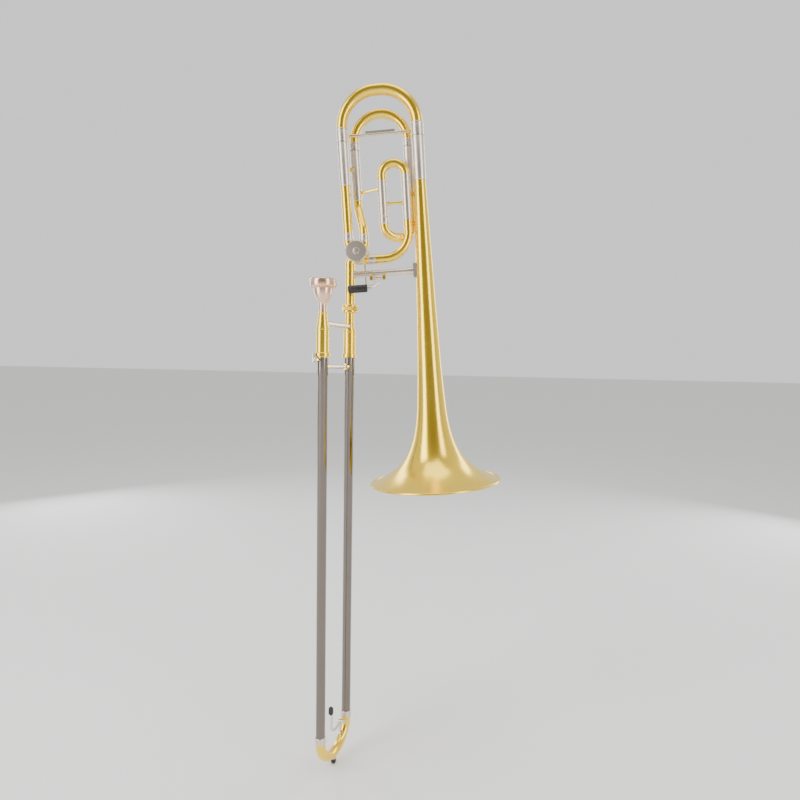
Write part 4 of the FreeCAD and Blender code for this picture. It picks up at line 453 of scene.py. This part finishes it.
def lathe_tree():
    """A section turned round an axis: the base mesh is the closed row of its points."""
    tree, wiring, start = geometry_tree("Turned section", [
        ("Segments", "NodeSocketInt"), ("Foot", "NodeSocketVector"), ("Turn", "NodeSocketVector"),
        ("Material", "NodeSocketMaterial")])
    size = wiring.add("GeometryNodeAttributeDomainSize", {"Geometry": start.outputs["Geometry"]},
                      component="MESH")
    around = wiring.add("ShaderNodeMath", {0: start.outputs["Segments"], 1: 1.0}, operation="ADD")
    sheet = wiring.add("GeometryNodeMeshGrid", {"Vertices X": size.outputs["Point Count"],
                                                "Vertices Y": around.outputs[0]})
    index = wiring.add("GeometryNodeInputIndex")
    turns = wiring.add("ShaderNodeMath", {0: index.outputs[0], 1: around.outputs[0]},
                       operation="DIVIDE")
    row = wiring.add("ShaderNodeMath", {0: turns.outputs[0]}, operation="FLOOR")
    column = wiring.add("ShaderNodeMath", {0: index.outputs[0], 1: around.outputs[0]},
                        operation="MODULO")
    place = wiring.add("GeometryNodeInputPosition")
    spot = wiring.add("GeometryNodeSampleIndex", {"Geometry": start.outputs["Geometry"],
                                                  "Value": place.outputs[0],
                                                  "Index": row.outputs[0]},
                      data_type="FLOAT_VECTOR", domain="POINT")
    share = wiring.add("ShaderNodeMath", {0: column.outputs[0], 1: start.outputs["Segments"]},
                       operation="DIVIDE")
    angle = wiring.add("ShaderNodeMath", {0: share.outputs[0], 1: math.tau},
                       operation="MULTIPLY")
    upright = wiring.add("ShaderNodeCombineXYZ", {"Z": 1.0})
    swung = wiring.add("ShaderNodeVectorRotate", {"Vector": spot.outputs[0],
                                                  "Axis": upright.outputs[0],
                                                  "Angle": angle.outputs[0]})
    turned = wiring.add("GeometryNodeSetPosition", {"Geometry": sheet.outputs[0],
                                                    "Position": swung.outputs[0]})
    closed = wiring.add("GeometryNodeMergeByDistance", {"Geometry": turned.outputs[0],
                                                        "Distance": 0.000001})
    smooth = wiring.add("GeometryNodeSetShadeSmooth", {"Geometry": closed.outputs[0]})
    bend = wiring.add("GeometryNodeInputMeshEdgeAngle")
    corner = wiring.add("ShaderNodeMath", {0: bend.outputs["Unsigned Angle"], 1: SHARP_ANGLE},
                        operation="GREATER_THAN")
    crisp = wiring.add("GeometryNodeSetShadeSmooth", {
        "Geometry": smooth.outputs[0], "Selection": corner.outputs[0], "Shade Smooth": False},
        domain="EDGE")
    placed = wiring.add("GeometryNodeTransform", {
        "Geometry": crisp.outputs[0], "Translation": start.outputs["Foot"],
        "Rotation": start.outputs["Turn"]})
    close_tree(wiring, placed.outputs[0], start)
    return tree


def ribs_tree():
    """Straight ribs round a ring, as on a knurled nut."""
    tree, wiring, start = geometry_tree("Ribs round a ring", [
        ("Count", "NodeSocketInt"), ("Ring radius", "NodeSocketFloat"),
        ("Rib radius", "NodeSocketFloat"), ("Rib length", "NodeSocketFloat"),
        ("Middle", "NodeSocketVector"), ("Material", "NodeSocketMaterial")])
    ring = wiring.add("GeometryNodeMeshCircle", {"Vertices": start.outputs["Count"],
                                                 "Radius": start.outputs["Ring radius"]})
    rib = wiring.add("GeometryNodeMeshCylinder", {
        "Vertices": 8, "Side Segments": 1, "Radius": start.outputs["Rib radius"],
        "Depth": start.outputs["Rib length"]})
    set_out = wiring.add("GeometryNodeInstanceOnPoints", {"Points": ring.outputs[0],
                                                          "Instance": rib.outputs[0]})
    placed = wiring.add("GeometryNodeTransform", {"Geometry": set_out.outputs[0],
                                                  "Translation": start.outputs["Middle"]})
    close_tree(wiring, placed.outputs[0], start)
    return tree


def coil_tree():
    """A pair of spring coils each side of a hinge tube, each with a straight leg."""
    tree, wiring, start = geometry_tree("Pair of spring coils", [
        ("Turns", "NodeSocketFloat"), ("Coil radius", "NodeSocketFloat"),
        ("Coil width", "NodeSocketFloat"), ("Wire radius", "NodeSocketFloat"),
        ("Leg", "NodeSocketFloat"), ("Half gap", "NodeSocketFloat"),
        ("Middle", "NodeSocketVector"), ("Turn", "NodeSocketVector"),
        ("Material", "NodeSocketMaterial")])
    coil = wiring.add("GeometryNodeCurveSpiral", {
        "Resolution": 24, "Rotations": start.outputs["Turns"],
        "Start Radius": start.outputs["Coil radius"], "End Radius": start.outputs["Coil radius"],
        "Height": start.outputs["Coil width"]})
    leg_foot = wiring.add("ShaderNodeCombineXYZ", {"X": start.outputs["Coil radius"]})
    leg_top = wiring.add("ShaderNodeCombineXYZ", {"X": start.outputs["Coil radius"],
                                                  "Y": start.outputs["Leg"]})
    leg = wiring.add("GeometryNodeCurvePrimitiveLine", {"Start": leg_foot.outputs[0],
                                                        "End": leg_top.outputs[0]})
    wires = wiring.add("GeometryNodeJoinGeometry")
    wiring.tree.links.new(coil.outputs[0], wires.inputs[0])
    wiring.tree.links.new(leg.outputs[0], wires.inputs[0])
    round_wire = wiring.add("GeometryNodeCurvePrimitiveCircle", {
        "Resolution": 10, "Radius": start.outputs["Wire radius"]})
    solid = wiring.add("GeometryNodeCurveToMesh", {"Curve": wires.outputs[0],
                                                   "Profile Curve": round_wire.outputs[0],
                                                   "Fill Caps": True})
    smooth = wiring.add("GeometryNodeSetShadeSmooth", {"Geometry": solid.outputs[0]})
    up = wiring.add("ShaderNodeCombineXYZ", {"Z": start.outputs["Half gap"]})
    near = wiring.add("GeometryNodeTransform", {"Geometry": smooth.outputs[0],
                                                "Translation": up.outputs[0]})
    far_gap = wiring.add("ShaderNodeMath", {0: start.outputs["Half gap"],
                                            1: start.outputs["Coil width"]}, operation="ADD")
    far_down = wiring.add("ShaderNodeMath", {0: far_gap.outputs[0], 1: -1.0},
                          operation="MULTIPLY")
    down = wiring.add("ShaderNodeCombineXYZ", {"Z": far_down.outputs[0]})
    far = wiring.add("GeometryNodeTransform", {"Geometry": smooth.outputs[0],
                                               "Translation": down.outputs[0]})
    pair = wiring.add("GeometryNodeJoinGeometry")
    wiring.tree.links.new(near.outputs[0], pair.inputs[0])
    wiring.tree.links.new(far.outputs[0], pair.inputs[0])
    placed = wiring.add("GeometryNodeTransform", {"Geometry": pair.outputs[0],
                                                  "Translation": start.outputs["Middle"],
                                                  "Rotation": start.outputs["Turn"]})
    close_tree(wiring, placed.outputs[0], start)
    return tree


def screw_tree():
    """Slotted screw heads on the points of the base mesh, each turned to face its way."""
    tree, wiring, start = geometry_tree("Slotted screw heads", [
        ("Head radius", "NodeSocketFloat"), ("Material", "NodeSocketMaterial")])
    head = wiring.add("GeometryNodeMeshCylinder", {
        "Vertices": 32, "Side Segments": 1, "Radius": start.outputs["Head radius"],
        "Depth": HEAD_HEIGHT})
    wide = wiring.add("ShaderNodeMath", {0: start.outputs["Head radius"], 1: 3.0},
                      operation="MULTIPLY")
    thin = wiring.add("ShaderNodeMath", {0: start.outputs["Head radius"], 1: 0.28},
                      operation="MULTIPLY")
    size = wiring.add("ShaderNodeCombineXYZ", {"X": wide.outputs[0], "Y": thin.outputs[0],
                                               "Z": 0.0010})
    slot = wiring.add("GeometryNodeMeshCube", {"Size": size.outputs[0]})
    raised = wiring.add("GeometryNodeTransform", {"Geometry": slot.outputs[0],
                                                  "Translation": (0, 0, HEAD_HEIGHT / 2)})
    cut = wiring.add("GeometryNodeMeshBoolean", operation="DIFFERENCE")
    wiring.tree.links.new(head.outputs[0], cut.inputs["Mesh 1"])
    wiring.tree.links.new(raised.outputs[0], cut.inputs["Mesh 2"])
    way = wiring.add("GeometryNodeInputNamedAttribute", {"Name": "way"},
                     data_type="FLOAT_VECTOR")
    turned = wiring.add("FunctionNodeAlignRotationToVector", {"Vector": way.outputs[0]})
    set_out = wiring.add("GeometryNodeInstanceOnPoints", {
        "Points": start.outputs["Geometry"], "Instance": cut.outputs[0],
        "Rotation": turned.outputs[0]})
    close_tree(wiring, set_out.outputs[0], start)
    return tree


def seam_tree():
    """Thin rings round tubes: each point of the base mesh holds a ring's middle, way and reach."""
    tree, wiring, start = geometry_tree("Seam rings", [
        ("Wire radius", "NodeSocketFloat"), ("Material", "NodeSocketMaterial")])
    loop = wiring.add("GeometryNodeCurvePrimitiveCircle", {"Resolution": 72, "Radius": 1.0})
    way = wiring.add("GeometryNodeInputNamedAttribute", {"Name": "way"},
                     data_type="FLOAT_VECTOR")
    reach = wiring.add("GeometryNodeInputNamedAttribute", {"Name": "reach"}, data_type="FLOAT")
    turned = wiring.add("FunctionNodeAlignRotationToVector", {"Vector": way.outputs[0]}, axis="Z")
    set_out = wiring.add("GeometryNodeInstanceOnPoints", {
        "Points": start.outputs["Geometry"], "Instance": loop.outputs[0],
        "Rotation": turned.outputs[0], "Scale": reach.outputs[0]})
    loops = wiring.add("GeometryNodeRealizeInstances", {"Geometry": set_out.outputs[0]})
    wire = wiring.add("GeometryNodeCurvePrimitiveCircle", {
        "Resolution": 10, "Radius": start.outputs["Wire radius"]})
    solid = wiring.add("GeometryNodeCurveToMesh", {"Curve": loops.outputs[0],
                                                   "Profile Curve": wire.outputs[0]})
    smooth = wiring.add("GeometryNodeSetShadeSmooth", {"Geometry": solid.outputs[0]})
    close_tree(wiring, smooth.outputs[0], start)
    return tree


def flat_ends(node):
    """The flat ring-shaped ends of a frame node: middle, way and outer radius of each."""
    shape = merged(node)
    shape.normal_update()
    found, seen = [], set()
    for first in shape.faces:
        if first in seen:
            continue
        patch, waiting = [], [first]
        seen.add(first)
        while waiting:
            face = waiting.pop()
            patch.append(face)
            for edge in face.edges:
                for other in edge.link_faces:
                    if other not in seen and other.normal.dot(first.normal) > 0.99999:
                        seen.add(other)
                        waiting.append(other)
        spots = {vert for face in patch for vert in face.verts}
        if len(spots) < 24:
            continue
        middle = sum((vert.co for vert in spots), Vector()) / len(spots)
        spans = [(vert.co - middle).length for vert in spots]
        outer = [span for span in spans if span > max(spans) * 0.98]
        if min(spans) > max(spans) * 0.6 and len(outer) > len(spans) * 0.3:
            found.append((middle, first.normal.copy(), max(spans)))
    shape.free()
    return found


def add_seam_shade(node):
    """Dark rings just inside the flat ends of a ferrule or sleeve, where it is soldered on; their
    dark colour is painted shade of the groove at the joint.
    """
    wire = sizes().seam_wire
    ends = flat_ends(node)
    mesh = screw_points(node + "_seam_points",
                        [(middle - way * wire * 1.4, way) for middle, way, _ in ends])
    reach = mesh.attributes.new("reach", "FLOAT", "POINT")
    for index, (_, _, radius) in enumerate(ends):
        reach.data[index].value = radius - wire * 0.6
    # The rings take the dark seam metal: painted shade of the groove at each joint.
    grow(bpy.data.node_groups["Seam rings"], node + "_seam_shade", BODY_OF[node], SLOT_OF[node],
         {"Wire radius": wire, "Material": finish("Seam")}, base=mesh)


def screw_points(name, spots):
    """A mesh of loose points, each with the way its screw faces."""
    mesh = bpy.data.meshes.new(name)
    mesh.from_pydata([spot[:] for spot, _ in spots], [], [])
    way = mesh.attributes.new("way", "FLOAT_VECTOR", "POINT")
    for index, (_, facing) in enumerate(spots):
        way.data[index].vector = facing
    return mesh


# ---- operators -----------------------------------------------------------------------------------

class TROMBONE_OT_finishes(bpy.types.Operator):
    """Make the metals, rubber and cork"""
    bl_idname = "trombone.finishes"
    bl_label = "Finishes"

    def execute(self, context):
        handling_group()
        polish_group()
        grain_group()
        p = paint()
        metal("Lacquered brass", p.brass, p.brass_deep, (0.50, 0.28, 0.08), 0.17, 0.27,
              (700, 700, 25), (9.0, 240.0, 0.5), 0.12, 0.02)
        metal("Nickel silver", p.nickel, p.nickel_deep, (0.42, 0.37, 0.31), 0.26, 0.38,
              (800, 800, 40), (26.0, 320.0, 0.5), 0.0, 0.03)
        metal("Plated slide tube", p.chrome, (0.18, 0.15, 0.13), (0.10, 0.08, 0.07), 0.13, 0.22,
              (1100, 1100, 3), (12.0, 300.0, 0.55), 0.0, 0.04)
        metal("Silver plate", p.silver, (0.74, 0.44, 0.28), (0.52, 0.32, 0.22), 0.18, 0.28,
              (60, 60, 1300), (30.0, 400.0, 0.4), 0.0, 0.04)
        metal("Spring steel", p.steel, (0.36, 0.31, 0.27), (0.20, 0.14, 0.11), 0.24, 0.38,
              (1500, 1500, 90), (60.0, 500.0, 0.8), 0.0, 0.08)
        # Seam shade: dark brown metal for the seam rings, painted shade of the groove where a
        # ferrule or sleeve meets its tube.
        metal("Seam", (0.20, 0.15, 0.10), (0.12, 0.09, 0.06), (0.07, 0.05, 0.03), 0.42, 0.6,
              (1500, 1500, 90), (60.0, 500.0, 0.8), 0.0, 0.05)
        soft_solid("Black rubber", p.rubber, (0.03, 0.03, 0.032), 1400.0, 700.0, 0.50, 0.25)
        soft_solid("Cork", p.cork, (0.22, 0.12, 0.06), 1100.0, 800.0, 0.85, 0.6)
        return {"FINISHED"}


class TROMBONE_OT_bell(bpy.types.Operator):
    """Spin the bell's stem and flare from their sections"""
    bl_idname = "trombone.bell"
    bl_label = "Bell"

    def execute(self, context):
        tree = lathe_tree()
        for node in ("bell_stem", "bell_flare"):
            turn = Vector((0, 0, 1)).rotation_difference(BELL_UP).to_euler()
            grow(tree, node + "_spun", BODY_OF[node], SLOT_OF[node], {
                "Segments": sizes().bell_segments, "Foot": BELL_MOUTH, "Turn": turn,
                "Material": finish("Lacquered brass")}, nodes=(node,),
                base=section_mesh(node, BELL_MOUTH, BELL_UP))
        return {"FINISHED"}


class TROMBONE_OT_hand_slide(bpy.types.Operator):
    """Dress the slide's tubes, barrels, braces, crook and bumper"""
    bl_idname = "trombone.hand_slide"
    bl_label = "Hand slide"

    def execute(self, context):
        for node in ("upper_inner_tube", "lower_inner_tube", "lower_outer_tube", "slide_crook",
                     "crook_ferrules", "bumper_socket", "rubber_bumper", "upper_cork_barrel",
                     "lower_cork_barrel", "hand_brace", "mouthpiece_receiver", "slide_tenon"):
            dress(node)
        leg = Vector(JOINTS["lock_turn"]["pos_m"])
        up = Vector((0, 0, 1))
        dress("slide_lock_ring", "Lacquered brass",
              lambda place: off_axis(place, leg, up) < LOCK_RING_RADIUS)
        dress("upper_outer_tube", "Lacquered brass",
              lambda place: off_axis(place, leg, up) > OUTER_TUBE_RADIUS)
        across = Vector((leg.x, leg.y, 0)).normalized()
        middle = Vector((leg.x, leg.y, 0)).length / 2
        foot = middle - BRACE_FOOT
        dress("outer_slide_brace", "Lacquered brass",
              lambda place: abs(Vector((place[0], place[1], 0)).dot(across) - middle) > foot)
        keep("leadpipe", "barrel_corks")
        add_seam_shade("crook_ferrules")
        return {"FINISHED"}


class TROMBONE_OT_mouthpiece(bpy.types.Operator):
    """Dress the mouthpiece"""
    bl_idname = "trombone.mouthpiece"
    bl_label = "Mouthpiece"

    def execute(self, context):
        dress("mouthpiece")
        return {"FINISHED"}


class TROMBONE_OT_neck_joint(bpy.types.Operator):
    """Dress the neck joint and knurl its nut"""
    bl_idname = "trombone.neck_joint"
    bl_label = "Neck joint"

    def execute(self, context):
        for node in ("bell_lock_nut", "neck_receiver", "neckpipe"):
            dress(node)
        low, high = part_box("bell_lock_nut")
        radius = (high.x - low.x) / 2
        height = high.z - low.z
        grow(ribs_tree(), "nut_knurl", "lock_nut", "lacquered_brass", {
            "Count": sizes().nut_ribs, "Ring radius": radius - 0.0001,
            "Rib radius": sizes().rib_radius, "Rib length": height * 0.42,
            "Middle": (0, 0, (low.z + high.z) / 2), "Material": finish("Lacquered brass")})
        return {"FINISHED"}


class TROMBONE_OT_valve(bpy.types.Operator):
    """Dress the rotary valve and its stop work"""
    bl_idname = "trombone.valve"
    bl_label = "Rotary valve"

    def execute(self, context):
        for node in ("valve_casing", "valve_knuckles", "valve_front_cap", "valve_rear_bearing",
                     "rotor_core", "stop_arm"):
            dress(node)
        keep("stop_corks")
        hinge = JOINTS["rotor_turn"]
        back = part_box("stop_arm")[1].y
        spindle = Vector((hinge["pos_m"][0], back + 0.0003, hinge["pos_m"][2]))
        grow(bpy.data.node_groups["Slotted screw heads"], "stop_arm_screw", "rotor",
             "spring_steel", {"Head radius": sizes().screw_radius,
                              "Material": finish("Spring steel")},
             base=screw_points("stop_screw_points", [(spindle, (0, 1, 0))]))
        return {"FINISHED"}


class TROMBONE_OT_main_tuning_slide(bpy.types.Operator):
    """Dress the main tuning slide"""
    bl_idname = "trombone.main_tuning_slide"
    bl_label = "Main tuning slide"

    def execute(self, context):
        for node in ("main_bow", "main_bow_ferrules", "main_slide_legs", "main_slide_sleeves",
                     "main_tube"):
            dress(node)
        add_seam_shade("main_bow_ferrules")
        add_seam_shade("main_slide_sleeves")
        return {"FINISHED"}


class TROMBONE_OT_f_tuning_slide(bpy.types.Operator):
    """Dress the F attachment's tuning slide"""
    bl_idname = "trombone.f_tuning_slide"
    bl_label = "F tuning slide"

    def execute(self, context):
        for node in ("f_bow", "f_bow_ferrules", "f_slide_legs", "f_slide_sleeves"):
            dress(node)
        add_seam_shade("f_bow_ferrules")
        add_seam_shade("f_slide_sleeves")
        low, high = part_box("f_slide_brace")
        dress("f_slide_brace", "Lacquered brass",
              lambda place: min(place[0] - low.x, high.x - place[0]) < F_BRACE_FOOT)
        return {"FINISHED"}


class TROMBONE_OT_wrap(bpy.types.Operator):
    """Dress the F attachment's tubing, its ferrules and the ties"""
    bl_idname = "trombone.wrap"
    bl_label = "F wrap"

    def execute(self, context):
        for node in ("tube_ferrules", "s_tube", "f_lower_bow", "loop_left_tube",
                     "loop_right_tube", "loop_bow", "j_tube", "tie_braces", "bell_brace"):
            dress(node)
        add_seam_shade("tube_ferrules")
        return {"FINISHED"}


class TROMBONE_OT_thumb_lever(bpy.types.Operator):
    """Dress the thumb lever, its posts and the link rod"""
    bl_idname = "trombone.thumb_lever"
    bl_label = "Thumb lever"

    def execute(self, context):
        for node in ("thumb_lever", "thumb_grip", "link_rod", "lever_posts", "lever_hinge_pin"):
            dress(node)
        return {"FINISHED"}


class TROMBONE_OT_water_key(bpy.types.Operator):
    """Dress the water key and wind its spring"""
    bl_idname = "trombone.water_key"
    bl_label = "Water key"

    def execute(self, context):
        for node in ("water_key_lever", "water_key_cork", "water_key_touch_pad",
                     "water_key_saddle", "water_key_pin"):
            dress(node)
        wire = sizes().wire
        outwards = Vector(JOINTS["lock_turn"]["pos_m"])
        outwards.z = 0
        outwards.normalize()
        leg_way = outwards * math.cos(COIL_FALL) - Vector((0, 0, math.sin(COIL_FALL)))
        foot_way = -outwards * math.sin(COIL_FALL) - Vector((0, 0, math.cos(COIL_FALL)))
        turn = Matrix((foot_way, leg_way, foot_way.cross(leg_way))).transposed().to_euler()
        grow(coil_tree(), "water_key_coils", "water_key", "spring_steel", {
            "Turns": sizes().coil_turns, "Coil radius": COIL_RADIUS - wire / 2,
            "Coil width": COIL_WIDTH - wire, "Wire radius": wire / 2, "Leg": COIL_LEG,
            "Half gap": COIL_GAP + wire / 2, "Middle": JOINTS["water_key_press"]["pos_m"],
            "Turn": turn, "Material": finish("Spring steel")}, nodes=("water_key_spring",))
        return {"FINISHED"}


class TROMBONE_OT_stage(bpy.types.Operator):
    """Lay the floor, hang the lights and set the camera"""
    bl_idname = "trombone.stage"
    bl_label = "Stage"

    def execute(self, context):
        scene = context.scene
        floor_mesh = bpy.data.meshes.new("floor")
        low = CAD_BOX[0][2] - 0.0005
        floor_mesh.from_pydata([(-30, -30, low), (30, -30, low), (30, 30, low), (-30, 30, low)],
                               [], [(0, 1, 2, 3)])
        floor = bpy.data.objects.new("floor", floor_mesh)
        scene.collection.objects.link(floor)
        ground = bpy.data.materials.new("Studio floor")
        ground.use_nodes = True
        shader = ground.node_tree.nodes["Principled BSDF"]
        shader.inputs["Base Color"].default_value = (*paint().floor, 1)
        shader.inputs["Roughness"].default_value = 0.9
        floor_mesh.materials.append(ground)

        world = bpy.data.worlds.new("Studio")
        scene.world = world
        world.use_nodes = True
        wiring = Wiring(world.node_tree)
        way = wiring.add("ShaderNodeTexCoord")
        parts = wiring.add("ShaderNodeSeparateXYZ", {"Vector": way.outputs["Generated"]})
        glow = wiring.add("ShaderNodeMapRange", {"Value": parts.outputs["Y"], "From Min": -0.95,
                                                 "From Max": 0.25, "To Min": 0.0, "To Max": 1.0},
                          interpolation_type="SMOOTHSTEP")
        tone = wiring.blend(glow.outputs[0], (0.30, 0.28, 0.26, 1), (1.0, 1.0, 1.0, 1))
        backdrop = world.node_tree.nodes["Background"]
        world.node_tree.links.new(tone, backdrop.inputs["Color"])
        backdrop.inputs["Strength"].default_value = 1.0

        def panel(name, place, target, width, height, power):
            light = bpy.data.lights.new(name, "AREA")
            light.shape = "RECTANGLE"
            light.size, light.size_y, light.energy = width, height, power
            lamp = bpy.data.objects.new(name, light)
            lamp.location = place
            aim = Vector(target) - Vector(place)
            lamp.rotation_euler = aim.to_track_quat("-Z", "Y").to_euler()
            scene.collection.objects.link(lamp)

        middle = (0.1, 0.0, -0.1)
        panel("left_panel", (-1.5, -1.3, 0.4), middle, 0.9, 2.8, 46)
        panel("right_panel", (1.7, -1.3, 0.3), middle, 0.7, 2.8, 30)
        panel("back_left_panel", (-1.5, 1.5, 0.5), middle, 0.6, 2.2, 18)
        panel("back_right_panel", (1.6, 1.5, 0.5), middle, 0.6, 2.2, 18)
        panel("top_panel", (0.0, -0.4, 2.2), middle, 1.8, 1.8, 22)

        lens = bpy.data.cameras.new("camera")
        lens.sensor_width = 36.0
        lens.lens = 26.79
        lens.shift_x, lens.shift_y = -0.0129, 0.0228
        camera = bpy.data.objects.new("camera", lens)
        turn, rise, roll = math.radians(4.45), math.radians(5.44), math.radians(1.15)
        camera.location = (0.17925, -0.98014, -0.08406)
        camera.rotation_mode = "QUATERNION"
        back = Vector((math.sin(turn) * math.cos(rise), -math.cos(turn) * math.cos(rise),
                       math.sin(rise)))
        look = (-back).to_track_quat("-Z", "Y")
        camera.rotation_quaternion = look @ Quaternion((0, 0, 1), roll)
        scene.collection.objects.link(camera)
        scene.camera = camera
        return {"FINISHED"}


# ---- panel and registration ----------------------------------------------------------------------

STEPS = (TROMBONE_OT_stage, TROMBONE_OT_finishes, TROMBONE_OT_bell, TROMBONE_OT_hand_slide,
         TROMBONE_OT_mouthpiece, TROMBONE_OT_neck_joint, TROMBONE_OT_valve,
         TROMBONE_OT_main_tuning_slide, TROMBONE_OT_f_tuning_slide, TROMBONE_OT_wrap,
         TROMBONE_OT_thumb_lever, TROMBONE_OT_water_key)


class TROMBONE_PT_panel(bpy.types.Panel):
    """Lists the steps, the colours and the sizes"""
    bl_idname = "TROMBONE_PT_panel"
    bl_label = "Trombone"
    bl_space_type = "VIEW_3D"
    bl_region_type = "UI"
    bl_category = "Trombone"

    def draw(self, context):
        for step in STEPS:
            self.layout.operator(step.bl_idname)
        for group in (context.scene.trombone_paint, context.scene.trombone_sizes):
            for name in group.bl_rna.properties.keys():
                if name not in ("rna_type", "name"):
                    self.layout.prop(group, name)


CLASSES = (TrombonePaint, TromboneSizes) + STEPS + (TROMBONE_PT_panel,)


def register():
    for item in CLASSES:
        bpy.utils.register_class(item)
    bpy.types.Scene.trombone_paint = PointerProperty(type=TrombonePaint)
    bpy.types.Scene.trombone_sizes = PointerProperty(type=TromboneSizes)


def unregister():
    del bpy.types.Scene.trombone_paint
    del bpy.types.Scene.trombone_sizes
    for item in reversed(CLASSES):
        bpy.utils.unregister_class(item)


def main():
    register()
    screw_tree()
    seam_tree()
    for step in STEPS:
        group, name = step.bl_idname.split(".")
        getattr(getattr(bpy.ops, group), name)()


if __name__ == "__main__":
    main()
